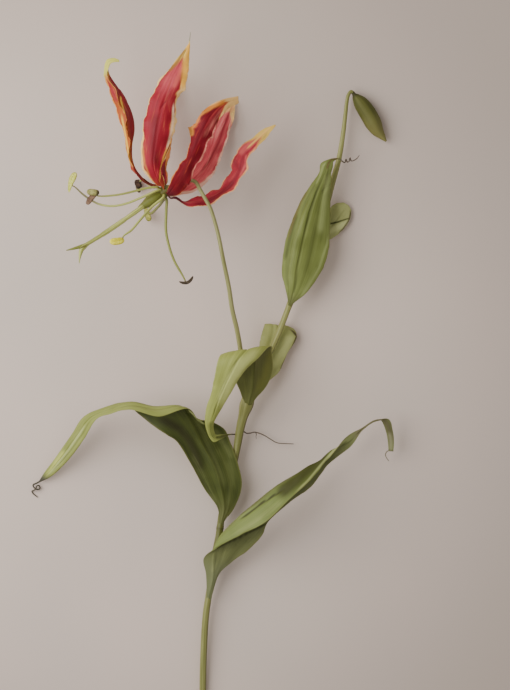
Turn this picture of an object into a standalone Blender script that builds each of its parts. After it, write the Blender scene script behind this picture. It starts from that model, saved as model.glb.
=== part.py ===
import math

import bpy
import numpy as np

# The cut stem lies on a surface at z = 0 and is seen from straight above.
# Places are read off a 510 x 690 picture of it: across, down, and height in millimetres.
PIXEL = 0.00055
PICTURE_MIDDLE = (255.0, 345.0)
BOX_MIDDLE = (212.4, 378.4)
EYE_HEIGHT = 2.0
READ_HEIGHT = 0.035
MM = 0.001

# Driving dimensions in metres
LEAF_THICKNESS = 0.0007
TEPAL_THICKNESS = 0.0007
TENDRIL_RADIUS = 0.0004
FILAMENT_RADIUS = 0.00062
STYLE_RADIUS = 0.0012
STAMEN_GAP = 0.0004
STAMEN_STRAIGHT = 0.0011
CLAW_HALF_WIDTH = 0.0011
CLAW_REACHES = (0.0029, 0.0046)

# The bloom's receptacle and the direction that its pistil points in
RECEPTACLE = (165.5, 191.0, 43.0)
RECEPTACLE_RADIUS = 0.0024
FLOWER_AXIS = np.array((-0.834, -0.552, 0.0))
SIDE_AXIS = np.array((-0.552, 0.834, 0.0))
UP = np.array((0.0, 0.0, 1.0))
STAMEN_SEAT = 0.0021

# Points across a blade, from its left margin to its right one
COLUMNS = 7

# Each station of a blade: rib, left margin, right margin
TEPALS = {
    "tepal_1": dict(
        azimuth=0.0, waves=6.0, ruffle=0.0007, arch=0.05,
        stations=[
            ((153, 185.6, 42.4), (152, 183.6, 41.4), (153.5, 186.8, 43.4)),
            ((137, 172, 42.5), (134, 170.5, 40.5), (135.5, 172, 44.8)),
            ((132.3, 147, 42), (127.5, 148, 38.5), (129.8, 147.5, 46.5)),
            ((133, 130, 41.5), (123, 130.5, 37.5), (127.2, 130, 48)),
            ((130, 112, 41), (117.5, 114, 37), (124, 113.5, 48)),
            ((117.5, 89, 40), (109.5, 91, 37), (115, 90, 45)),
            ((108, 72.5, 40.5), (104.3, 75, 39), (107, 73, 42.5)),
            ((109, 62, 42.5), (107.5, 60.5, 41.8), (110, 63.2, 43)),
            ((119, 61.2, 43), (118.8, 60.2, 43), (119.2, 62, 43)),
        ],
    ),
    "tepal_2": dict(
        azimuth=60.0, waves=7.0, ruffle=0.0012, arch=0.06,
        tail=[(189.6, 40, 53), (190.1, 36, 53), (190.5, 32, 53)],
        stations=[
            ((160.5, 184, 49), (156, 184.5, 48.5), (165, 184, 48)),
            ((153.5, 165, 55), (141.8, 166, 52), (161, 169, 51)),
            ((155, 144, 57), (141.5, 144, 53), (170.5, 144, 53)),
            ((158.5, 122, 57.5), (143.7, 123, 54), (175.5, 121, 54)),
            ((164, 101, 57), (149.5, 101, 54), (177.5, 101, 53.5)),
            ((172, 80, 56), (160, 80, 53.5), (186.5, 82, 53)),
            ((181, 61, 54.5), (175.5, 61, 53), (189, 64, 52.5)),
            ((189.2, 44, 53), (188.4, 44, 53), (190, 44, 53)),
        ],
    ),
    "tepal_3": dict(
        azimuth=300.0, waves=6.0, ruffle=0.0010, arch=0.06,
        stations=[
            ((164, 183, 37.5), (167.5, 182.5, 37.5), (160, 183, 38)),
            ((161, 168, 33), (167, 168, 31), (153, 168, 33)),
            ((161, 148, 27), (171.3, 147, 25), (150, 149, 26)),
            ((162, 126, 20), (172.5, 127, 18.5), (151, 127, 19.5)),
            ((166, 104, 14), (174, 106, 12.5), (156, 104, 13)),
            ((172, 84, 9.5), (178, 86, 8), (166, 84, 8.5)),
            ((177, 70, 7), (177.8, 70, 7), (176.2, 70, 7)),
        ],
    ),
    "tepal_4": dict(
        azimuth=120.0, waves=7.0, ruffle=0.0012, arch=0.06,
        stations=[
            ((171.5, 190, 49), (167.5, 189, 48.5), (175, 196, 47)),
            ((180.5, 176, 57), (175, 169, 54), (186.5, 186, 53)),
            ((190, 159, 64), (183.5, 155, 60), (195.5, 166.5, 59.5)),
            ((198, 141, 69), (188, 131, 66), (206.5, 146, 64)),
            ((207, 124, 71), (196, 120.5, 69), (216, 131, 66)),
            ((216, 111, 71), (207, 107.5, 70.5), (222, 119, 67.5)),
            ((226, 103.5, 69), (221, 100.5, 70), (227.5, 109, 67)),
            ((237.5, 100, 65), (237, 98.5, 65), (238, 101.5, 65)),
        ],
    ),
    "tepal_5": dict(
        azimuth=240.0, waves=7.0, ruffle=0.0010, arch=0.06,
        stations=[
            ((173, 193, 36), (180, 195.5, 35), (171, 190, 36.5)),
            ((187, 184, 29), (199, 189, 27), (180, 176, 29)),
            ((203, 168, 21), (214, 173, 18.5), (193, 160, 21)),
            ((213, 149, 14), (223, 152, 11.5), (202, 145, 14.5)),
            ((220, 131, 9), (230, 131, 7), (209, 128, 9.5)),
            ((226, 117, 6), (234.5, 115, 4.5), (217, 115, 6.5)),
            ((231, 107, 4), (235, 106, 3.4), (226, 106, 4.2)),
            ((234, 100, 2.5), (234.8, 100, 2.5), (233.2, 100, 2.5)),
        ],
    ),
    "tepal_6": dict(
        azimuth=180.0, waves=7.0, ruffle=0.0009, arch=0.05,
        stations=[
            ((175, 198.6, 42.5), (174.5, 200, 43.5), (176, 197.4, 41.2)),
            ((188, 202.8, 41.5), (186, 205.3, 43), (190, 199.5, 39.5)),
            ((208, 200, 40.5), (207, 205.5, 42.5), (206.5, 193.5, 37)),
            ((227, 188.5, 41), (231.5, 190.5, 44), (221, 185.5, 36.5)),
            ((238, 171, 41), (245, 172.5, 43.5), (231, 168.5, 36.5)),
            ((243, 154.5, 40), (249.5, 157, 42.5), (236, 152.5, 36)),
            ((255, 143, 39), (259, 146, 41), (249, 140, 36)),
            ((268, 131, 38), (270, 133, 39), (265, 128.5, 36.8)),
            ((275.5, 125, 38), (275.9, 125.6, 38), (275.1, 124.4, 38)),
        ],
    ),
}

LEAVES = {
    "leaf_1": dict(
        waves=2.0, ruffle=0.0010, arch=0.06, rings=34,
        tail_rings=24,
        tail=[
            (34.8, 486.2, 2.5), (35.4, 488.2, 2.4), (38.2, 488.6, 2.2), (38.6, 490.6, 1.8),
            (34.6, 491.4, 1.2), (31.6, 493, 0.7), (33.4, 496.2, 0.4), (38, 498.2, 0.4),
        ],
        stations=[
            ((221, 521, 10.3), (223.3, 521, 10.2), (218.8, 521, 10.2)),
            ((224, 508, 11.4), (233, 510.5, 10.6), (217, 508, 11.2)),
            ((221, 488, 14), (241.5, 490, 11.6), (204.5, 489, 14)),
            ((213, 464, 17), (240, 470, 12), (191.5, 465, 18)),
            ((201, 442, 19), (230, 442, 11.5), (177, 442, 22)),
            ((193, 427, 22), (221.5, 427.5, 12.5), (167, 435, 24)),
            ((186, 414, 27), (204, 419, 20.5), (157, 427.5, 24.5)),
            ((177, 406, 31), (190, 408, 33), (148, 421.5, 24)),
            ((155, 405.5, 32), (159, 416.5, 40), (138, 412.5, 23)),
            ((133, 402, 30), (132, 411, 36), (124, 403.5, 22)),
            ((110, 410.5, 26), (112, 414.5, 30), (106, 407, 21)),
            ((90, 419.5, 20), (96, 421.5, 24), (84, 415, 17)),
            ((77, 436, 14), (84, 438.5, 17), (71.5, 434, 11.5)),
            ((60, 459, 8), (67, 461.5, 9.5), (54.5, 459.5, 6)),
            ((46, 475.5, 4), (50, 477.5, 4.2), (43, 474.5, 3.4)),
            ((37, 483.5, 2.2), (37.7, 484.2, 2.2), (36.3, 482.8, 2.2)),
        ],
    ),
    "leaf_2": dict(
        waves=2.0, ruffle=0.0008, arch=0.05, rings=34,
        tail_rings=8,
        tail=[(388.6, 453, 8.6), (385.6, 455.2, 7.8), (386, 458.3, 7), (389.3, 461.2, 6.6)],
        stations=[
            ((209.5, 596, 8.9), (212.3, 596, 8.9), (206.7, 596, 8.9)),
            ((213, 578, 11), (220, 574, 10.8), (205.7, 574, 10.4)),
            ((214, 562, 14), (233, 561, 12.5), (204, 557, 13)),
            ((217, 543, 18), (248, 550.5, 14), (220, 545, 21.5)),
            ((236, 521, 21), (262, 535, 16), (244, 533, 27)),
            ((256, 502.5, 24), (268, 521, 17), (267, 521.5, 30)),
            ((280, 483, 24), (288, 500, 17), (291, 501.5, 29)),
            ((307, 467, 22), (313, 488, 17), (310.5, 481, 26)),
            ((331, 449.5, 20), (330, 463.5, 16.5), (328, 458, 22)),
            ((340, 445.6, 19.5), (341.5, 454, 17.5), (336, 447.5, 23)),
            ((349, 441.4, 18.5), (351, 446.4, 18.5), (345.5, 437.8, 18)),
            ((362, 429.8, 17), (362.8, 430.8, 18.2), (361.2, 428.6, 15)),
            ((374, 421.8, 17), (374.3, 422.8, 18), (373.6, 420.6, 15.6)),
            ((386, 421, 15.5), (389, 420.3, 16.5), (383, 420.6, 14.2)),
            ((391, 437, 12.5), (395.4, 438, 12.8), (387, 436, 11.2)),
            ((390.8, 450, 9.5), (392.5, 450.5, 9.5), (389.2, 450, 9.2)),
        ],
    ),
    "leaf_3": dict(
        waves=2.0, ruffle=0.0006, arch=0.05, rings=32, tail_rings=20,
        tail=[
            (230.4, 434.4, 11.4), (232.2, 434.3, 8), (235.5, 434, 5.6), (240, 433.4, 4.8), (247, 432.2, 4.5),
            (256, 434, 4.4), (266, 437, 4.2), (280, 442.7, 4), (294, 443.7, 3.8),
        ],
        stations=[
            ((246.5, 405, 13.4), (249, 405, 13.4), (244, 404.4, 13.4)),
            ((252, 391, 16.5), (264, 389.5, 14), (240.5, 391.5, 16)),
            ((254, 373, 22), (273, 371, 16), (234, 377, 21)),
            ((254, 358, 29), (271.5, 352, 21), (231, 362, 27)),
            ((248, 350, 34.5), (270, 345.5, 28), (222, 355, 33)),
            ((240, 357, 39), (258, 358.5, 35), (218, 361, 37)),
            ((231, 374, 38.5), (243, 372.5, 35.5), (214.5, 377, 36)),
            ((222, 393, 34.5), (231, 391.5, 32), (211, 393, 32)),
            ((214.5, 412, 29), (221, 410, 27.5), (205.5, 411, 27.5)),
            ((211.5, 428, 25), (216, 423, 24.5), (206, 428.5, 23.5)),
            ((215.5, 437, 22), (217.5, 433.5, 22.4), (212.5, 441, 21)),
            ((222, 436.3, 20), (222.2, 433.6, 20.3), (221.6, 439, 19.6)),
            ((227.6, 434.8, 15.5), (227.4, 434, 15.7), (227.8, 435.6, 15.3)),
        ],
    ),
    "leaf_4": dict(
        waves=2.0, ruffle=0.0004, arch=0.05, rings=20,
        stations=[
            ((252.5, 391, 7.9), (250.3, 390.6, 7.9), (254.7, 391.4, 7.9)),
            ((266, 370, 6.8), (258, 364, 6.8), (278, 373, 6.2)),
            ((273, 350, 7.2), (259.5, 344, 7), (287.5, 353, 6)),
            ((279, 334, 7), (262.5, 331, 7), (297, 336.5, 5.6)),
            ((278, 325, 5.2), (265, 324, 5.2), (292.5, 328, 4.4)),
            ((275.5, 333, 2.8), (266, 332, 2.8), (286, 336, 2.6)),
            ((274, 347, 1.6), (272.5, 347, 1.6), (275.5, 347, 1.6)),
        ],
    ),
    "leaf_5": dict(
        waves=3.0, ruffle=0.0006, arch=0.05, rings=26, tail_rings=8,
        tail=[(340, 161, 14.6), (345.7, 161, 14), (351.8, 158, 13.6), (359.5, 155, 13.2)],
        stations=[
            ((290.2, 304, 14), (288.2, 303.4, 14), (292.2, 304.6, 14)),
            ((293, 292, 15.6), (285.5, 289, 15.2), (302, 294, 14.6)),
            ((296, 270, 18), (281.5, 272, 15.5), (320, 272, 14)),
            ((300.5, 248, 19), (284, 250, 16), (328.5, 250, 14)),
            ((306, 225, 20), (289.5, 227, 16.5), (332, 227, 14)),
            ((313, 203, 20), (299, 204, 17), (331.5, 203, 14.5)),
            ((321, 183, 19), (311, 184, 17), (333.5, 182, 15)),
            ((328, 166.5, 17), (320.8, 164, 16.5), (336, 168.5, 15)),
            ((337, 160.2, 15), (336.6, 159.4, 15), (337.4, 161, 15)),
        ],
    ),
    "leaf_6": dict(
        waves=1.0, ruffle=0.0003, arch=0.05, rings=16,
        stations=[
            ((315.4, 243.5, 7.1), (314, 242.5, 7.1), (316.8, 244.5, 7.1)),
            ((326, 232.5, 5.6), (321, 226, 5.4), (333, 238, 4.6)),
            ((336, 220.5, 4.8), (328, 211, 4.8), (344.5, 228, 3.8)),
            ((343.5, 211, 4.2), (335.5, 203.6, 4.4), (350.3, 218, 3.2)),
            ((348.6, 205.6, 3), (343.5, 202.4, 3.2), (351.3, 210.5, 2.4)),
        ],
    ),
}

# Each stamen: its place round the axis, its filament's route, its anther's ends and how far that bows
STAMENS = {
    "1": dict(
        azimuth=60.0, radius=1.35, bow=0.0008, hold=0.3,
        route=[(144.3, 196.3, 48.5), (126, 203.6, 49), (112.8, 206, 48.5), (100.3, 204.5, 47.5),
               (91.5, 200.5, 46.5), (82, 193.6, 46)],
        anther=((76, 172.5, 46), (69, 192.5, 46)),
    ),
    "2": dict(
        azimuth=30.0, radius=1.55, bow=0.0012, hold=-0.4,
        route=[(157, 187.3, 46.6), (148, 187.9, 49), (136.3, 190.7, 52), (122.3, 194, 56), (111.3, 195.6, 59)],
        anther=((98.5, 190.5, 65), (87, 204.5, 62)),
    ),
    "3": dict(
        azimuth=300.0, radius=1.75, bow=0.0006, hold=0.0,
        route=[(157, 186.8, 31), (150, 185.5, 17)],
        anther=((137.2, 180, 0.4), (140.2, 187, 6.7)),
    ),
    "4": dict(
        azimuth=120.0, radius=1.5, bow=0.0006, hold=0.8,
        route=[(151.7, 207, 50), (140.7, 219.3, 56), (130.4, 230.5, 61)],
        anther=((110.3, 241.6, 66), (123.4, 240.5, 64)),
    ),
    "5": dict(
        azimuth=240.0, radius=1.25, bow=0.0006, hold=0.0,
        route=[(162.5, 203, 30), (156.5, 210.5, 18)],
        anther=((144.8, 209.5, 4), (150, 221, 7)),
    ),
    "6": dict(
        azimuth=180.0, radius=1.1, bow=0.0022, hold=-0.2,
        route=[(166.3, 209, 43), (166, 231, 43.5), (168.5, 244, 43.5), (173.7, 259.6, 43)],
        anther=((179, 281.5, 42), (193, 276, 42)),
    ),
}

STEM_ROUTE = [
    (202.3, 716, 1.8), (203.6, 654, 4), (206, 614, 5.6), (210, 590, 6.4), (214, 560, 7),
    (217.6, 535, 7.5), (221.5, 512, 7.8), (230, 478, 8.4), (236, 453, 9), (241.5, 425, 9.8),
    (247, 402, 10.4), (258, 375, 10.8), (272, 347.8, 11.2), (281, 327, 11.6), (291, 301, 11.6),
    (304, 270, 10.6), (318, 235, 9.2), (329, 202.5, 8.4), (335, 180, 8), (339.6, 159.6, 7.6),
    (343.5, 133, 7), (345.7, 112, 6.6), (347, 101, 6.3), (348.6, 94.6, 6.1), (351.2, 91.6, 6),
    (353.6, 93.2, 5.6),
]
# Stem radii in millimetres at shares of its length
STEM_RADII = [
    (0.0, 1.85), (0.20, 1.85), (0.27, 1.95), (0.30, 1.8), (0.34, 1.75), (0.42, 2.2),
    (0.47, 2.2), (0.52, 1.65), (0.62, 1.6), (0.75, 1.5), (0.92, 1.35), (0.98, 1.0), (1.0, 0.95),
]

STALK_ROUTE = [
    (246.0, 389.5, 11.3), (243.2, 370, 15), (240.5, 350, 19.5), (237, 330, 24), (232.3, 310, 28),
    (229, 288, 31.5), (223.7, 262, 35), (216.7, 228.5, 41), (208, 203, 46.5), (202.5, 194.6, 47),
    (198.7, 187, 47), (193.3, 180.5, 46.4), (186, 180.5, 45), (177, 184.4, 43.8),
]
STALK_RADII = [(0.0, 1.3), (0.3, 1.3), (0.7, 1.05), (0.93, 1.0), (0.96, 1.0)]
STALK_END = [(-0.0042, 1.15), (-0.0020, 2.0), (-0.0008, 2.4), (0.0028, 2.4), (0.0034, 1.9)]

OVARY = [(0.0037, 0.9), (0.0046, 2.2), (0.0075, 3.2), (0.0115, 3.0), (0.0145, 1.8)]
STYLE_ROUTE = [(143, 206.2, 43.5), (126, 218.6, 45), (111, 229, 47), (100, 236.2, 48.5), (85.7, 245, 50)]
STIGMA_ARMS = [
    [(85.7, 245, 50), (79, 247, 50.5), (72, 249, 51), (66.2, 250.4, 51)],
    [(85.7, 245, 50), (82, 249, 50.5), (80, 256, 51), (79.2, 263.3, 51.5)],
    [(85.7, 245, 50), (83, 246.4, 53), (80.5, 248, 57), (79, 249, 60)],
]

BUD_ROUTE = [
    (354.3, 94.7, 5.5), (361.6, 104.2, 4.7), (367.9, 113.5, 4.4), (373.4, 123.3, 4.4),
    (377.6, 130.8, 4.3), (382.3, 136.5, 4.2), (386.2, 141.4, 4.1),
]
BUD_RADII = [
    (0.0, 1.2), (0.05, 2.3), (0.16, 3.9), (0.33, 4.7), (0.5, 4.85), (0.62, 4.7), (0.75, 3.7),
    (0.88, 2.1), (1.0, 0.5),
]

COLOURS = {
    "stem": (0.30, 0.32, 0.11),
    "flower_stalk": (0.33, 0.34, 0.12),
    "tepal": (0.42, 0.02, 0.04),
    "filament": (0.50, 0.52, 0.18),
    "anther": (0.72, 0.66, 0.14),
    "pistil": (0.20, 0.26, 0.05),
    "leaf": (0.22, 0.29, 0.08),
    "bud": (0.18, 0.20, 0.05),
}


def clear_scene():
    for thing in list(bpy.data.objects):
        bpy.data.objects.remove(thing, do_unlink=True)


def finish(name, roughness):
    material = bpy.data.materials.new(name)
    material.use_nodes = True
    shader = material.node_tree.nodes["Principled BSDF"]
    kind = name if name in COLOURS else name.rsplit("_", 1)[0]
    shader.inputs["Base Color"].default_value = (*COLOURS[kind], 1.0)
    shader.inputs["Roughness"].default_value = roughness
    shader.inputs["Metallic"].default_value = 0.0
    return material


def place(spot):
    # A place in the picture and a height, seen from the eye above, as a point in metres
    across, down, height = spot[0], spot[1], spot[2] * MM
    scale = PIXEL * (EYE_HEIGHT - height) / (EYE_HEIGHT - READ_HEIGHT)
    x = (across - PICTURE_MIDDLE[0]) * scale + (PICTURE_MIDDLE[0] - BOX_MIDDLE[0]) * PIXEL
    y = (PICTURE_MIDDLE[1] - down) * scale + (BOX_MIDDLE[1] - PICTURE_MIDDLE[1]) * PIXEL
    return np.array((x, y, height))


def places(spots):
    return np.array([place(spot) for spot in spots])


def unit(vectors):
    return vectors / np.maximum(np.linalg.norm(vectors, axis=-1, keepdims=True), 1e-12)


def knots_along(points):
    steps = np.linalg.norm(np.diff(points, axis=0), axis=1)
    run = np.concatenate(([0.0], np.cumsum(np.maximum(steps, 1e-6))))
    return run / run[-1]


def smooth(points, knots, shares):
    # A cubic through the points whose slope at each is the mean of the chords beside it
    chords = np.diff(points, axis=0) / np.diff(knots)[:, None]
    slopes = np.vstack((chords[:1], (chords[1:] + chords[:-1]) / 2, chords[-1:]))
    spans = np.clip(np.searchsorted(knots, shares, side="right") - 1, 0, len(knots) - 2)
    width = (knots[spans + 1] - knots[spans])[:, None]
    t = (shares[:, None] - knots[spans][:, None]) / width
    start, end = points[spans], points[spans + 1]
    return (
        start * (2 * t**3 - 3 * t**2 + 1)
        + slopes[spans] * width * (t**3 - 2 * t**2 + t)
        + end * (3 * t**2 - 2 * t**3)
        + slopes[spans + 1] * width * (t**3 - t**2)
    )


def along(points, count):
    return smooth(points, knots_along(points), np.linspace(0.0, 1.0, count))


def add_object(name, points, faces, material, smooth_shading=True):
    mesh = bpy.data.meshes.new(name)
    mesh.from_pydata([tuple(point) for point in points], [], faces)
    mesh.materials.append(material)
    mesh.validate()
    if smooth_shading:
        mesh.shade_smooth()
        mesh.set_sharp_from_angle(angle=math.radians(50))
    piece = bpy.data.objects.new(name, mesh)
    bpy.context.scene.collection.objects.link(piece)
    return piece


def wall(first, second, sides, swap=()):
    # Triangles between two rings; the sides in swap are split the other way
    faces = []
    for k in range(sides):
        a, b = first + k, first + (k + 1) % sides
        c, d = second + (k + 1) % sides, second + k
        if k in swap:
            faces += [(a, b, d), (b, c, d)]
        else:
            faces += [(a, b, c), (a, c, d)]
    return faces


def tube_rings(centres, radii, sides, start_side):
    # Rings square to the route, each turned as little as possible from the one before
    heads = unit(np.gradient(centres, axis=0))
    side = unit(start_side - heads[0] * (start_side @ heads[0]))
    angles = np.arange(sides) * 2 * math.pi / sides
    rings = []
    for centre, head, radius in zip(centres, heads, radii):
        side = unit(side - head * (side @ head))
        other = np.cross(head, side)
        rings.append(centre + radius * (np.outer(np.cos(angles), side) + np.outer(np.sin(angles), other)))
    return np.array(rings)


def tube_mesh(centres, radii, sides, start_side=UP):
    rings = tube_rings(centres, radii, sides, start_side)
    faces = []
    for ring in range(len(rings) - 1):
        faces += wall(ring * sides, (ring + 1) * sides, sides)
    last = (len(rings) - 1) * sides
    faces.append(tuple(range(sides - 1, -1, -1)))
    faces.append(tuple(range(last, last + sides)))
    return rings.reshape(-1, 3), faces


def radii_at(profile, shares):
    stops, sizes = np.array(profile).T
    return np.interp(shares, stops, sizes) * MM


def radii_along(profile, count):
    return radii_at(profile, np.linspace(0.0, 1.0, count))


def blade_grid(stations, count, arch, waves, ruffle):
    # Points from margin to margin over the rib, each half bowed by arch and rippled at its edge
    rib, left, right = (np.array([station[part] for station in stations]) for part in range(3))
    knots = knots_along(rib)
    shares = np.linspace(0.0, 1.0, count)
    rib, left, right = (smooth(curve, knots, shares) for curve in (rib, left, right))
    across = np.linspace(-1.0, 1.0, COLUMNS)
    out = np.abs(across)[None, :, None]
    edges = np.where((across < 0)[None, :, None], left[:, None], right[:, None])
    grid = rib[:, None] + (edges - rib[:, None]) * out
    width = np.linalg.norm(edges - rib[:, None], axis=2, keepdims=True)
    fade = np.sin(math.pi * np.clip(shares * 1.02, 0, 1))[:, None, None] ** 0.5
    phase = np.where(across < 0, 0.0, 2.0)[None, :, None]
    ripple = np.sin(2 * math.pi * waves * shares[:, None, None] + phase)
    lift = arch * width * 4 * out * (1 - out) + ruffle * fade * ripple * out**2
    return grid + grid_normals(grid) * lift


def grid_normals(grid):
    ahead = np.gradient(grid, axis=0)
    across = np.gradient(grid, axis=1)
    return unit(np.cross(across, ahead))


def blade_mesh(grid, thickness, tail=None):
    normals = grid_normals(grid)
    over, under = grid + normals * thickness / 2, grid - normals * thickness / 2
    rings = np.concatenate((over, under[:, ::-1]), axis=1)
    count, sides = rings.shape[:2]
    points = [rings.reshape(-1, 3)]
    faces = []
    under_sides = range(COLUMNS, 2 * COLUMNS - 1)
    for ring in range(count - 1):
        faces += wall(ring * sides, (ring + 1) * sides, sides, under_sides)
    for column in range(COLUMNS - 1):
        faces.append((column, sides - 1 - column, sides - 2 - column, column + 1))
    last = (count - 1) * sides
    if tail is None:
        for column in range(COLUMNS - 1):
            faces.append((last + column, last + column + 1, last + sides - 2 - column, last + sides - 1 - column))
        return np.concatenate(points), faces
    # The tip goes on as a thin round tendril with half as many sides
    first_side = grid[-1, 0] - grid[-1, COLUMNS // 2]
    radii = np.linspace(TENDRIL_RADIUS, TENDRIL_RADIUS * 0.75, len(tail))
    half = sides // 2
    thin = tube_rings(tail, radii, half, first_side)
    thin = align_to(thin, rings[-1][::2])
    start = count * sides
    for k in range(half):
        a, b, c = last + 2 * k, last + 2 * k + 1, last + (2 * k + 2) % sides
        d, e = start + k, start + (k + 1) % half
        faces += [(a, b, d), (b, e, d), (b, c, e)]
    for ring in range(len(thin) - 1):
        faces += wall(start + ring * half, start + (ring + 1) * half, half)
    end = start + (len(thin) - 1) * half
    faces.append(tuple(range(end, end + half)))
    points.append(thin.reshape(-1, 3))
    return np.concatenate(points), faces


def align_to(thin, wide):
    # Starts and turns the thin rings as the wide ring runs, so that the join isn't twisted
    half = thin.shape[1]
    first = thin[0] - thin[0].mean(axis=0)
    target = wide - wide.mean(axis=0)
    options = []
    for order in (range(half), range(half - 1, -1, -1)):
        for shift in range(half):
            index = np.roll(np.array(order), shift)
            options.append((float((unit(first[index]) * unit(target)).sum()), list(index)))
    return thin[:, max(options)[1]]


def radial(azimuth):
    angle = math.radians(azimuth)
    return math.cos(angle) * SIDE_AXIS + math.sin(angle) * UP


def tangent(azimuth):
    angle = math.radians(azimuth)
    return math.cos(angle) * UP - math.sin(angle) * SIDE_AXIS


def claw_stations(azimuth):
    # Where a tepal meets the receptacle: two narrow stations set round its rim
    heart = place(RECEPTACLE)
    half = tangent(azimuth) * CLAW_HALF_WIDTH
    stations = []
    for reach in CLAW_REACHES:
        rib = heart + radial(azimuth) * reach
        stations.append((rib, rib - half, rib + half))
    return stations


def make_tepal(name, spec):
    stations = claw_stations(spec["azimuth"])
    stations += [tuple(place(spot) for spot in station) for station in spec["stations"]]
    grid = blade_grid(stations, 30, spec["arch"], spec["waves"], spec["ruffle"])
    tail = None
    if "tail" in spec:
        tail = places(spec["tail"])
    points, faces = blade_mesh(grid, TEPAL_THICKNESS, tail)
    add_object(name, points, faces, finish(name, 0.45))


def make_leaf(name, spec):
    stations = [tuple(place(spot) for spot in station) for station in spec["stations"]]
    grid = blade_grid(stations, spec["rings"], spec["arch"], spec["waves"], spec["ruffle"])
    tail = None
    if "tail" in spec:
        tail = along(places(spec["tail"]), spec["tail_rings"])
    points, faces = blade_mesh(grid, LEAF_THICKNESS, tail)
    add_object(name, points, faces, finish(name, 0.5))


def make_stamen(number, spec):
    ends = places(spec["anther"])
    middle = ends.mean(axis=0)
    route = places(spec["route"])
    heart = place(RECEPTACLE) + FLOWER_AXIS * STAMEN_SEAT
    out = radial(spec["azimuth"])
    root = heart + out * (RECEPTACLE_RADIUS + STAMEN_GAP)
    bend = heart + out * (RECEPTACLE_RADIUS + 4 * STAMEN_GAP)
    lie = unit(ends[1] - ends[0])
    held = middle + (ends[1] - ends[0]) / 2 * spec["hold"]
    arrive = unit(route[-1] - held)
    arrive = unit(arrive - lie * (arrive @ lie) * 0.95)
    sag = spec["bow"] * (1 - spec["hold"] ** 2)
    thickness = spec["radius"] * MM
    seat = held + arrive * (thickness + STAMEN_GAP - sag)
    curve = along(np.vstack((root, bend, route, seat + arrive * STAMEN_STRAIGHT, seat)), 18)
    radii = np.full(18, FILAMENT_RADIUS)
    radii[-1] = FILAMENT_RADIUS * 0.7
    points, faces = tube_mesh(curve, radii, 6)
    add_object(f"filament_{number}", points, faces, finish(f"filament_{number}", 0.5))
    # The anther is a blunt spindle that bows away from the filament at its middle
    shares = np.linspace(-1.0, 1.0, 9)
    spine = middle + np.outer(shares / 2, ends[1] - ends[0])
    spine -= np.outer(1 - shares**2, arrive) * spec["bow"]
    sizes = thickness * (1 - 0.93 * shares**4) ** 0.5
    points, faces = tube_mesh(spine, sizes, 8)
    add_object(f"anther_{number}", points, faces, finish(f"anther_{number}", 0.75))


def make_stem():
    # The rings stand closer together along the hook that carries the bud
    route = places(STEM_ROUTE)
    shares = np.concatenate((np.linspace(0.0, 0.93, 36), np.linspace(0.945, 1.0, 11)))
    centres = smooth(route, knots_along(route), shares)
    points, faces = tube_mesh(centres, radii_at(STEM_RADII, shares), 10)
    points[:, 2] = np.maximum(points[:, 2], 0.0)
    add_object("stem", points, faces, finish("stem", 0.5))


def make_flower_stalk():
    route = along(places(STALK_ROUTE), 26)
    radii = radii_along(STALK_RADII, 26)
    heart = place(RECEPTACLE)
    for reach, size in STALK_END:
        route = np.vstack((route, heart + FLOWER_AXIS * reach))
        radii = np.append(radii, size * MM)
    points, faces = tube_mesh(route, radii, 10)
    add_object("flower_stalk", points, faces, finish("flower_stalk", 0.5))


def make_pistil():
    heart = place(RECEPTACLE)
    body = np.array([heart + FLOWER_AXIS * reach for reach, size in OVARY])
    body = np.vstack((body, along(places(STYLE_ROUTE), 12)))
    sizes = [size * MM for reach, size in OVARY] + list(np.linspace(STYLE_RADIUS, 0.0010, 12))
    points, faces = tube_mesh(body, sizes, 8)
    pistil = add_object("pistil", points, faces, finish("pistil", 0.5))
    arms = bpy.data.collections.new("arms")
    bpy.context.scene.collection.children.link(arms)
    for number, spots in enumerate(STIGMA_ARMS):
        points, faces = tube_mesh(along(places(spots), 6), np.linspace(0.0008, 0.0005, 6), 6)
        arm = add_object(f"arm_{number}", points, faces, pistil.data.materials[0])
        bpy.context.scene.collection.objects.unlink(arm)
        arms.objects.link(arm)
    union = pistil.modifiers.new("arms", "BOOLEAN")
    union.operation = "UNION"
    union.operand_type = "COLLECTION"
    union.collection = arms
    union.solver = "EXACT"
    bpy.context.view_layer.objects.active = pistil
    bpy.ops.object.modifier_apply(modifier="arms")
    for arm in list(arms.objects):
        bpy.data.objects.remove(arm, do_unlink=True)
    bpy.data.collections.remove(arms)


def make_bud():
    centres = along(places(BUD_ROUTE), 16)
    head = unit(centres[1] - centres[0])
    half_step = math.pi / 12
    level = UP * math.cos(half_step) + np.cross(head, UP) * math.sin(half_step)
    points, faces = tube_mesh(centres, radii_along(BUD_RADII, 16), 12, level)
    points[:, 2] = np.maximum(points[:, 2], 0.0)
    add_object("bud", points, faces, finish("bud", 0.5))


clear_scene()
make_stem()
make_flower_stalk()
for tepal_name, tepal_spec in TEPALS.items():
    make_tepal(tepal_name, tepal_spec)
for stamen_number, stamen_spec in STAMENS.items():
    make_stamen(stamen_number, stamen_spec)
make_pistil()
for leaf_name, leaf_spec in LEAVES.items():
    make_leaf(leaf_name, leaf_spec)
make_bud()
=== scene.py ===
import math

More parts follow.
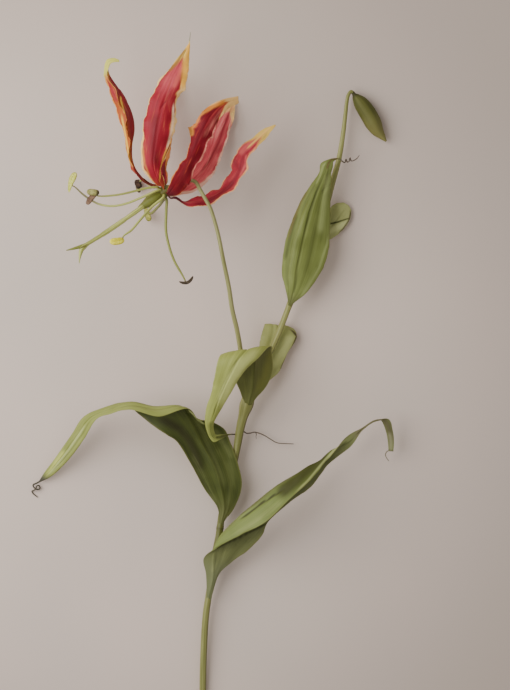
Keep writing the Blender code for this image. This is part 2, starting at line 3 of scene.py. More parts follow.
import bpy
import numpy as np
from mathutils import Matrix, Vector


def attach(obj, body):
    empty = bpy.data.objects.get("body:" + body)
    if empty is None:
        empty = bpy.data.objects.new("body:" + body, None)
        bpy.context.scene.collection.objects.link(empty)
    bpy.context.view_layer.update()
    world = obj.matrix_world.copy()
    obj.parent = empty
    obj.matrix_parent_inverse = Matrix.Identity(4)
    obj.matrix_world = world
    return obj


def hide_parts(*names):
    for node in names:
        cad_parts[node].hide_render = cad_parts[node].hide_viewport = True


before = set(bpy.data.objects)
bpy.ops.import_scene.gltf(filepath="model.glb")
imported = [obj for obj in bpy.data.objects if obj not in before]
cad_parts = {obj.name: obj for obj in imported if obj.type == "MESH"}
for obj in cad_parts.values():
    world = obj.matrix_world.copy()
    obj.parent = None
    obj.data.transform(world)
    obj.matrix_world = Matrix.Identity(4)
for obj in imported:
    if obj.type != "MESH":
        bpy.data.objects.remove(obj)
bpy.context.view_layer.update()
print("solid flower loaded:", len(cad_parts), "nodes")

# Places are read off the picture: across, down and height in millimetres
picture = dict(
    pixel=0.00055,  # metres of flower to a pixel at readHeight
    pixelsDown=690,
    middle=(255.0, 345.0),
    flowerMiddle=(212.4, 378.4),
    eyeHeight=2.0,
    readHeight=0.035,
)
# Where the picture's middle lies, in metres from the flower's own
middleAcross = (picture["middle"][0] - picture["flowerMiddle"][0]) * picture["pixel"]
middleUp = (picture["flowerMiddle"][1] - picture["middle"][1]) * picture["pixel"]
millimetre = 0.001
fullTurn = 2 * math.pi
up = np.array((0.0, 0.0, 1.0))


def pixelAt(height):
    # Metres to a pixel, less in proportion as the height comes nearer to the eye
    away, whole = picture["eyeHeight"] - height, picture["eyeHeight"] - picture["readHeight"]
    return picture["pixel"] * away / whole


def place(spots):
    # Points in metres: the pixels from the picture's middle times the metres to a pixel
    spots = np.atleast_2d(np.array(spots, dtype=float))
    height = spots[:, 2] * millimetre
    x = (spots[:, 0] - picture["middle"][0]) * pixelAt(height) + middleAcross
    y = (picture["middle"][1] - spots[:, 1]) * pixelAt(height) + middleUp
    return np.column_stack((x, y, height))


def pictureOf(points):
    # The picture's across and down of points in metres: place the other way round
    size = pixelAt(points[..., 2])
    across = picture["middle"][0] + (points[..., 0] - middleAcross) / size
    down = picture["middle"][1] - (points[..., 1] - middleUp) / size
    return np.stack((across, down), axis=-1)


def unit(vectors):
    # Each vector divided by its length
    return vectors / np.maximum(np.linalg.norm(vectors, axis=-1, keepdims=True), 1e-12)


def lengthOf(path):
    # The sum of the steps between the path's points
    return np.linalg.norm(np.diff(path, axis=0), axis=1).sum()


def knotsAlong(points):
    # Each point's share of the whole length, as the running sum of the steps
    steps = np.linalg.norm(np.diff(points, axis=0), axis=1)
    run = np.concatenate(([0.0], np.cumsum(np.maximum(steps, 1e-6))))
    return run / run[-1]


def smoothCurve(points, knots, shares):
    # A cubic between each two points, with the mean slope of the two chords at each point
    chords = np.diff(points, axis=0) / np.diff(knots)[:, None]
    slopes = np.vstack((chords[:1], (chords[1:] + chords[:-1]) / 2, chords[-1:]))
    spans = np.clip(np.searchsorted(knots, shares, side="right") - 1, 0, len(knots) - 2)
    width = (knots[spans + 1] - knots[spans])[:, None]
    t = (shares[:, None] - knots[spans][:, None]) / width
    return (
        points[spans] * (2 * t**3 - 3 * t**2 + 1)
        + slopes[spans] * width * (t**3 - 2 * t**2 + t)
        + points[spans + 1] * (3 * t**2 - 2 * t**3)
        + slopes[spans + 1] * width * (t**3 - t**2)
    )


def curveThrough(points, shares):
    # The smooth curve whose knots are the points' own shares of its length
    return smoothCurve(points, knotsAlong(points), shares)


def ramp(value, low, high):
    # 0 below low, 1 above high, and an S-curve between
    t = np.clip((value - low) / (high - low), 0.0, 1.0)
    return t * t * (3 - 2 * t)


def bell(value, middle, reach):
    # 1 at the middle, falling off with the square of the distance over the reach
    return np.exp(-(((value - middle) / reach) ** 2))


def table(stops, shares):
    # Straight lines between the stops
    marks, values = np.array(stops, dtype=float).T
    return np.interp(shares, marks, values)


def ripple(a, b, seed):
    # A sum of sines at unlike angles: soft, uneven waves between about -1 and 1
    waves = np.random.default_rng(seed).uniform(0, fullTurn, 5)
    return (
        np.sin(a + 0.6 * b + waves[0]) + 0.7 * np.sin(1.7 * a - b + waves[1])
        + 0.5 * np.sin(2.9 * a + 1.3 * b + waves[2]) + 0.35 * np.sin(0.6 * a - 2.1 * b + waves[3])
        + 0.25 * np.sin(4.3 * a + 2.2 * b + waves[4])
    ) / 2.2


# How a stroke fades: at shares of its line, and outside and inside the ends of its span
strokeFade = dict(line=(0.22, 0.78), outside=0.03, inside=0.01)


def strokeMask(points, along, strokes, kind):
    # Strength times a bell curve of the distance to each stroke's line, fading out towards both
    # ends of the line, within the stroke's span of the blade
    spots = pictureOf(points)
    mask = np.zeros(spots.shape[:2])
    outside, inside = strokeFade["outside"], strokeFade["inside"]
    for name, width, strength, span, line in strokes:
        if name == kind:
            line = np.array(line, dtype=float)
            steps = np.diff(line, axis=0)
            lengths = np.linalg.norm(steps, axis=1)
            gaps = spots[:, :, None] - line[:-1]
            share = np.clip((gaps * steps).sum(-1) / lengths**2, 0, 1)
            away = np.linalg.norm(gaps - share[..., None] * steps, axis=-1)
            nearest = away.argmin(axis=-1)[..., None]
            run = (np.cumsum(lengths) - lengths + share * lengths) / lengths.sum()
            run = np.take_along_axis(run, nearest, -1)[..., 0]
            faded = ramp(run, 0.0, strokeFade["line"][0]) * (1 - ramp(run, strokeFade["line"][1], 1.0))
            begun = ramp(along, span[0] - outside, span[0] + inside)
            ended = ramp(along, span[1] - inside, span[1] + outside)
            drawn = strength * bell(away.min(axis=-1), 0, width) * faded * (begun * (1 - ended))
            mask = np.maximum(mask, drawn)
    return mask


def closedSkin(name, rings, marks, material, node):
    # Quads join each ring to the next one, and one face closes each end
    count, sides = rings.shape[:2]
    ring = np.arange(count - 1)[:, None] * sides
    side = np.arange(sides)[None, :]
    nextSide = (side + 1) % sides
    corners = (ring + side, ring + nextSide, ring + sides + nextSide, ring + sides + side)
    faces = np.stack(corners, axis=-1).reshape(-1, 4).tolist()
    last = (count - 1) * sides
    faces += [list(range(sides - 1, -1, -1)), list(range(last, last + sides))]
    mesh = bpy.data.meshes.new(name)
    mesh.from_pydata(rings.reshape(-1, 3).tolist(), [], faces)
    for label, values in marks.items():
        kind, field = ("FLOAT_VECTOR", "vector") if values.ndim == 3 else ("FLOAT", "value")
        layer = mesh.attributes.new(label, kind, "POINT")
        layer.data.foreach_set(field, values.ravel().astype(np.float32))
    mesh.shade_smooth()
    mesh.materials.append(material)
    piece = bpy.data.objects.new(name, mesh)
    bpy.context.scene.collection.objects.link(piece)
    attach(piece, "root")
    if node:
        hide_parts(node)


def circleRound(angles, side, other):
    # The angle's cosine times one direction and its sine times the other
    return np.cos(angles)[None, :, None] * side[:, None] + np.sin(angles)[None, :, None] * other[:, None]


def tubeRings(path, radii, sides, section=None):
    # Each ring lies square to the path: its radius times its section, turned from straight up
    heads = unit(np.gradient(path, axis=0))
    side = unit(up - heads * (heads @ up)[:, None])
    other = np.cross(heads, side)
    angles = np.arange(sides) * fullTurn / sides
    reach = radii[:, None] * (1.0 if section is None else section(angles[None, :]))
    reach = np.broadcast_to(reach, (len(path), sides))[:, :, None]
    return path[:, None] + reach * circleRound(angles, side, other)


def tubeMarks(rings, path, seed, flowRadius=0.004):
    # Shares along and around the tube, and a place in the noise: the length along, and a circle
    count, sides = rings.shape[:2]
    along = np.broadcast_to(knotsAlong(path)[:, None], (count, sides))
    around = np.broadcast_to(np.linspace(0, 1, sides, endpoint=False)[None, :], (count, sides))
    turn = fullTurn * around
    flow = (along * lengthOf(path), np.cos(turn) * flowRadius, np.sin(turn) * flowRadius + seed)
    return dict(along=along, around=around, flow=np.stack(flow, axis=-1))


# Finishes
def paint(red, green, blue):
    # Eye values from 0 to 255 as linear light
    tone = np.array((red, green, blue)) / 255
    linear = np.where(tone <= 0.04045, tone / 12.92, ((tone + 0.055) / 1.055) ** 2.4)
    return (*[float(part) for part in linear], 1.0)


def join(tree, value, socket):
    if isinstance(value, bpy.types.NodeSocket):
        tree.links.new(value, socket)
    else:
        socket.default_value = value


def mixColours(tree, share, first, second):
    # Colours are sockets, or eye values from 0 to 255
    node = tree.nodes.new("ShaderNodeMix")
    node.data_type = "RGBA"
    join(tree, share, node.inputs[0])
    for value, socket in zip((first, second), (node.inputs[6], node.inputs[7])):
        join(tree, paint(*value) if isinstance(value, tuple) else value, socket)
    return node.outputs[2]


def calc(tree, operation, first, second=0.0, third=0.0):
    node = tree.nodes.new("ShaderNodeMath")
    node.operation = operation
    for value, socket in zip((first, second, third), node.inputs):
        join(tree, value, socket)
    return node.outputs[0]


def spread(tree, value, low, high, least=0.0, most=1.0):
    node = tree.nodes.new("ShaderNodeMapRange")
    node.interpolation_type = "SMOOTHSTEP"
    for part, socket in zip((value, low, high, least, most), node.inputs):
        join(tree, part, socket)
    return node.outputs[0]


def attribute(tree, name, output="Fac"):
    node = tree.nodes.new("ShaderNodeAttribute")
    node.attribute_name = name
    return node.outputs[output]


def effectGroup(name, inputs, outputs):
    group = bpy.data.node_groups.new(name, "ShaderNodeTree")
    for label, kind in inputs:
        group.interface.new_socket(name=label, in_out="INPUT", socket_type=kind)
    for label in outputs:
        group.interface.new_socket(name=label, in_out="OUTPUT", socket_type="NodeSocketFloat")
    return group, group.nodes.new("NodeGroupInput"), group.nodes.new("NodeGroupOutput")


def buildStreaks():
    # Noise drawn out along the blade: long soft stripes with finer ones in them
    group, start, end = effectGroup(
        "lengthwiseStreaks",
        [("Flow", "NodeSocketVector"), ("Along", "NodeSocketFloat"), ("Across", "NodeSocketFloat")],
        ["Share"],
    )
    size = group.nodes.new("ShaderNodeCombineXYZ")
    for number, label in enumerate(("Along", "Across", "Across")):
        group.links.new(start.outputs[label], size.inputs[number])
    scaled = group.nodes.new("ShaderNodeVectorMath")
    scaled.operation = "MULTIPLY"
    group.links.new(start.outputs["Flow"], scaled.inputs[0])
    group.links.new(size.outputs[0], scaled.inputs[1])
    noise = group.nodes.new("ShaderNodeTexNoise")
    for label, value in (("Scale", 1.0), ("Detail", 3.0), ("Distortion", 0.4)):
        noise.inputs[label].default_value = value
    group.links.new(scaled.outputs[0], noise.inputs["Vector"])
    group.links.new(spread(group, noise.outputs[0], 0.3, 0.7), end.inputs["Share"])
    return group


def buildMottle():
    # Even noise of one size over the surface
    group, start, end = effectGroup("softMottle", [("Scale", "NodeSocketFloat")], ["Share"])
    coordinate = group.nodes.new("ShaderNodeTexCoord")
    noise = group.nodes.new("ShaderNodeTexNoise")
    noise.inputs["Detail"].default_value = 2.0
    group.links.new(coordinate.outputs["Object"], noise.inputs["Vector"])
    group.links.new(start.outputs["Scale"], noise.inputs["Scale"])
    group.links.new(spread(group, noise.outputs[0], 0.32, 0.68), end.inputs["Share"])
    return group


def buildVeins():
    # A wave across the blade: fine parallel veins that run together at both ends
    group, start, end = effectGroup(
        "parallelVeins", [("Across", "NodeSocketFloat"), ("Count", "NodeSocketFloat")], ["Line"]
    )
    phase = calc(group, "MULTIPLY", start.outputs["Across"], start.outputs["Count"])
    wave = calc(group, "SINE", phase)
    group.links.new(calc(group, "MULTIPLY_ADD", wave, 0.5, 0.5), end.inputs["Line"])
    return group


streaksGroup, mottleGroup, veinsGroup = buildStreaks(), buildMottle(), buildVeins()


def effect(tree, group, values):
    node = tree.nodes.new("ShaderNodeGroup")
    node.node_tree = group
    for label, value in values.items():
        join(tree, value, node.inputs[label])
    return node.outputs[0]


def streaks(tree, flow, sizes):
    return effect(tree, streaksGroup, dict(Flow=flow, Along=sizes[0], Across=sizes[1]))


def mottle(tree, scale):
    return effect(tree, mottleGroup, dict(Scale=scale))


def startMaterial(name, roughness):
    material = bpy.data.materials.new(name)
    material.use_nodes = True
    shader = material.node_tree.nodes["Principled BSDF"]
    shader.inputs["Roughness"].default_value = roughness
    shader.inputs["Specular IOR Level"].default_value = 0.3
    return material, material.node_tree, shader


def addBump(tree, shader, height, strength, distance):
    bump = tree.nodes.new("ShaderNodeBump")
    bump.inputs["Strength"].default_value = strength
    bump.inputs["Distance"].default_value = distance
    tree.links.new(height, bump.inputs["Height"])
    tree.links.new(bump.outputs[0], shader.inputs["Normal"])


def layered(tree, body, look, labels):
    # The colour of each label goes on where the attribute of the same name is
    for label in labels:
        body = mixColours(tree, attribute(tree, label), body, look[label])
    return body


def painted(tree, body, streak, look, kinds):
    # Each stroke's mask is torn a little by the streaks before its colour goes on
    torn = calc(tree, "MULTIPLY_ADD", streak, 0.5, -0.25)
    for kind in kinds:
        mask = calc(tree, "MULTIPLY_ADD", torn, 0.5, attribute(tree, kind))
        body = mixColours(tree, spread(tree, mask, 0.12, 0.95), body, look[kind])
    return body


def edged(tree, body, look, label, ragged, blendFrom, coverFrom):
    # A ragged mask brings in the blend first and then the full colour of the border or tip
    mask = calc(tree, "ADD", attribute(tree, label), ragged)
    body = mixColours(tree, spread(tree, mask, *blendFrom), body, look["blend"])
    return mixColours(tree, spread(tree, mask, *coverFrom), body, look[label])


# How often the noise changes in a metre along and across, the range of roughness, and the bump's
# strength and distance in metres
tepalSkin = dict(broad=(55.0, 420.0), fine=(120.0, 1900.0), roughness=(0.5, 0.64), bump=(0.25, 0.00014))
leafSkin = dict(broad=(26.0, 260.0), fine=(70.0, 1500.0), roughness=(0.5, 0.64), bump=(0.4, 0.00012))
stemSkin = dict(streak=(35.0, 480.0), bump=(0.35, 0.0001))
antherSkin = dict(coarse=700.0, grains=3200.0, bump=(0.8, 0.0002))


def tepalMaterial(name, look):
    # Crimson body in streaks, paler in the middle as a painted highlight, then strokes, the yellow border,
    # tip and dark claw with ragged edges
    material, tree, shader = startMaterial(name, 0.56)
    shader.inputs["Specular IOR Level"].default_value = look["shine"]
    flow = attribute(tree, "flow", "Vector")
    broad = streaks(tree, flow, tepalSkin["broad"])
    fine = streaks(tree, flow, tepalSkin["fine"])
    streak = calc(tree, "MULTIPLY_ADD", fine, 0.35, calc(tree, "MULTIPLY", broad, 0.65))
    body = mixColours(tree, streak, look["deep"], look["bright"])
    # The pale colour goes on where the light attribute is: a painted highlight
    light = spread(tree, calc(tree, "MULTIPLY_ADD", broad, 0.2, attribute(tree, "light")), 0.3, 1.0)
    body = mixColours(tree, light, body, look["pale"])
    back = mixColours(tree, streak, look["backDeep"], look["backBright"])
    body = mixColours(tree, attribute(tree, "under"), body, back)
    body = painted(tree, body, streak, look, look["first"])
    ragged = calc(tree, "MULTIPLY_ADD", fine, 0.3, calc(tree, "MULTIPLY_ADD", broad, 0.25, -0.27))
    body = edged(tree, body, look, "border", ragged, (0.08, 0.5), (0.4, 0.85))
    body = edged(tree, body, look, "tip", ragged, (0.1, 0.55), (0.45, 0.9))
    body = painted(tree, body, streak, look, look["last"])
    body = layered(tree, body, look, ("claw", "thread"))
    join(tree, body, shader.inputs["Base Color"])
    join(tree, spread(tree, fine, 0.0, 1.0, *tepalSkin["roughness"]), shader.inputs["Roughness"])
    addBump(tree, shader, streak, *tepalSkin["bump"])
    return material


def leafMaterial(name, look):
    # Upper face light, underside dark, partly its own green and partly painted shade, with fine veins, soft
    # stripes, strokes of painted shade and highlight, and a darker midrib and folds as painted shade in
    # their creases
    material, tree, shader = startMaterial(name, 0.46)
    flow = attribute(tree, "flow", "Vector")
    veins = effect(tree, veinsGroup, dict(Across=attribute(tree, "across"), Count=look["veins"]))
    broad = streaks(tree, flow, leafSkin["broad"])
    fine = streaks(tree, flow, leafSkin["fine"])
    patches = mottle(tree, look["patches"])
    stripe = calc(tree, "MULTIPLY_ADD", fine, 0.3, calc(tree, "MULTIPLY", broad, 0.35))
    stripe = calc(tree, "MULTIPLY_ADD", patches, 0.35, stripe)
    top = mixColours(tree, stripe, look["topDeep"], look["topBright"])
    back = mixColours(tree, stripe, look["backDeep"], look["backBright"])
    body = mixColours(tree, attribute(tree, "under"), top, back)
    body = mixColours(tree, calc(tree, "MULTIPLY", veins, 0.07), body, look["vein"])
    # Painted shade in the creases of the midrib and the folds
    body = layered(tree, body, look, ("creaseShade", "base"))
    body = painted(tree, body, stripe, look, look["kinds"])
    body = layered(tree, body, look, ("rim",))
    body = mixColours(tree, attribute(tree, "tip"), body, look["tendril"])
    join(tree, body, shader.inputs["Base Color"])
    join(tree, spread(tree, broad, 0.0, 1.0, *leafSkin["roughness"]), shader.inputs["Roughness"])
    height = calc(tree, "MULTIPLY_ADD", veins, 0.3, calc(tree, "MULTIPLY", fine, 0.5))
    addBump(tree, shader, height, *leafSkin["bump"])
    return material


def stemMaterial(name, look):
    # Long soft streaks, with a shaded tone and a line colour: the shade is mostly painted shade, and the
    # line is painted shade down one side of the stem, stalk and style, the stem's dark node ring, the
    # filaments' browner tips and the bud's paler end
    material, tree, shader = startMaterial(name, look.get("roughness", 0.45))
    streak = streaks(tree, attribute(tree, "flow", "Vector"), stemSkin["streak"])
    body = mixColours(tree, streak, look["deep"], look["bright"])
    body = layered(tree, body, look, ("shade", "line"))
    join(tree, body, shader.inputs["Base Color"])
    addBump(tree, shader, streak, *stemSkin["bump"])
    return material


def antherMaterial(name, look):
    # Dry pollen: grains of two sizes in the colour and in the bump, then the shade colour: painted shade on
    # one side of the main lobes
    material, tree, shader = startMaterial(name, 0.85)
    coarse = mottle(tree, antherSkin["coarse"])
    grains = mottle(tree, antherSkin["grains"])
    body = mixColours(tree, coarse, look["deep"], look["bright"])
    body = layered(tree, body, look, ("shade",))
    join(tree, body, shader.inputs["Base Color"])
    height = calc(tree, "MULTIPLY_ADD", grains, 0.6, calc(tree, "MULTIPLY", coarse, 0.4))
    addBump(tree, shader, height, *antherSkin["bump"])
    return material


# Blades
def gridNormals(grid):
    # The cross product of the grid's steps across and along
    return unit(np.cross(np.gradient(grid, axis=1), np.gradient(grid, axis=0)))


def bladeRings(stations, look, tailPath, seed):
    # Straight lines from rib to margins, bowed by arch, rippled and crisped more towards the margin,
    # then thickened by half on each side. The margin's own lobes push it outwards. The tail is a
    # tube round its path that thins towards its end.
    rib, left, right = (np.array([station[part] for station in stations]) for part in range(3))
    knots = knotsAlong(rib)
    rows, columns = look["rows"], look["columns"]
    shares = np.linspace(0.0, 1.0, rows)
    rib, left, right = (smoothCurve(curve, knots, shares) for curve in (rib, left, right))
    turn = np.linspace(math.pi, 0.0, columns)
    across = np.cos(turn)
    out = np.abs(across)[None, :, None]
    isLeft = (across < 0)[None, :, None]
    reach = np.where(isLeft, left[:, None], right[:, None]) - rib[:, None]
    width = np.linalg.norm(reach, axis=2, keepdims=True)
    u, v = shares[:, None, None], across[None, :, None]
    fade = np.sin(math.pi * np.clip(u * 1.02, 0, 1)) ** 0.5
    lobes = np.zeros((rows, columns, 1))
    for side, where, breadth, size in look.get("lobes", []):
        lobes = lobes + (v * side > 0) * size * millimetre * bell(u, where, breadth) * out**3
    # Crisping and notches come and go with the mood, and each half of the blade has its own
    crispWaves = look["crisps"] * fullTurn
    mood = 0.55 + 0.45 * ripple(11 * u, np.where(isLeft, 0.0, 7.0) + 0 * v, look["seed"] + 2)
    crisp = mood * ripple(crispWaves * u, 1.5 * v + np.where(isLeft, 0.0, 9.0), look["seed"])
    notches = mood * ripple(crispWaves * u * 1.1 + 3.0, np.where(isLeft, 0.0, 5.0) + 0 * v, look["seed"] + 7)
    grid = rib[:, None] + reach * out
    grid = grid + unit(reach) * (lobes + look["scallop"] * fade * notches * out**4)
    normals = gridNormals(grid)
    wave = np.sin(fullTurn * look["waves"] * u + np.where(isLeft, 0.0, 2.0))
    lift = look["arch"] * width * 4 * out * (1 - out) + look["ruffle"] * fade * wave * out**2
    lift = lift + look["crisp"] * fade * crisp * out**3
    lift = lift + look["swell"] * fade * ripple(9 * u, 2.2 * v, look["seed"] + 3) * (1 - out**2)
    lift = lift - look["groove"] * fade * bell(v, 0, look["grooveWidth"])
    for where, depth, breadth in look.get("folds", []):
        lift = lift - depth * millimetre * fade * bell(v, where, breadth)
    grid = grid + normals * lift
    alongGrid = np.broadcast_to(shares[:, None], grid.shape[:2])
    dips, ridges = (strokeMask(grid, alongGrid, look["strokes"], kind) for kind in ("dip", "ridge"))
    grid = grid - gridNormals(grid) * (dips - ridges)[:, :, None] * millimetre
    normals = gridNormals(grid)
    half = look["thickness"] / 2 * np.sin(turn)[None, :, None] ** 0.7
    over, under = grid + normals * half, grid - normals * half
    rings = np.concatenate((over, under[:, -2:0:-1]), axis=1)
    angles = np.concatenate((turn, -turn[-2:0:-1]))
    marks = dict(
        along=np.broadcast_to(shares[:, None], rings.shape[:2]),
        across=np.broadcast_to(np.cos(angles)[None, :], rings.shape[:2]),
        under=np.broadcast_to(np.where(np.sin(angles) < -1e-6, 1.0, 0.0)[None, :], rings.shape[:2]),
    )
    if tailPath is not None:
        heads = unit(np.gradient(tailPath, axis=0))
        lie = unit(grid[-1, -1] - grid[-1, 0])
        sideways = unit(lie[None, :] - heads * (heads @ lie)[:, None])
        radii = np.linspace(look["tendril"], look["tendril"] * 0.6, len(tailPath))
        radii[-3:] *= np.array((0.9, 0.7, 0.35))
        circle = circleRound(angles, sideways, np.cross(sideways, heads))
        tail = tailPath[:, None] + radii[:, None, None] * circle
        rings = np.concatenate((rings, tail))
        beyond = 1 + 0.2 * knotsAlong(tailPath)
        added = dict(along=beyond[:, None], across=marks["across"][:1], under=marks["under"][:1])
        for label, values in added.items():
            marks[label] = np.concatenate((marks[label], np.broadcast_to(values, tail.shape[:2])))
    spanWidth = 2 * width.max()
    flow = (marks["along"] * lengthOf(rib), marks["across"] * spanWidth / 2, np.full(rings.shape[:2], seed))
    marks["flow"] = np.stack(flow, axis=-1)
    for kind in look["paints"]:
        marks[kind] = strokeMask(rings, marks["along"], look["strokes"], kind)
    return rings, marks


def bladeStations(rows):
    return [tuple(place(spot)[0] for spot in row) for row in rows]


# The bloom's middle, and the direction that its pistil points in
bloom = dict(
    heart=(165.5, 191.0, 43.0),
    radius=0.0024,
    axis=np.array((-0.834, -0.552, 0.0)),
    side=np.array((-0.552, 0.834, 0.0)),
    clawReaches=(0.0019, 0.0046),
    clawHalfWidth=0.0011,
)
bloomHeart = place(bloom["heart"])[0]


def radial(azimuth):
    # Outwards from the bloom's axis: cosine of the side direction and sine of straight up
    angle = math.radians(azimuth)
    return math.cos(angle) * bloom["side"] + math.sin(angle) * up


def tangent(azimuth):
    # Round the bloom's axis: a quarter turn on from radial
    angle = math.radians(azimuth)
    return math.cos(angle) * up - math.sin(angle) * bloom["side"]
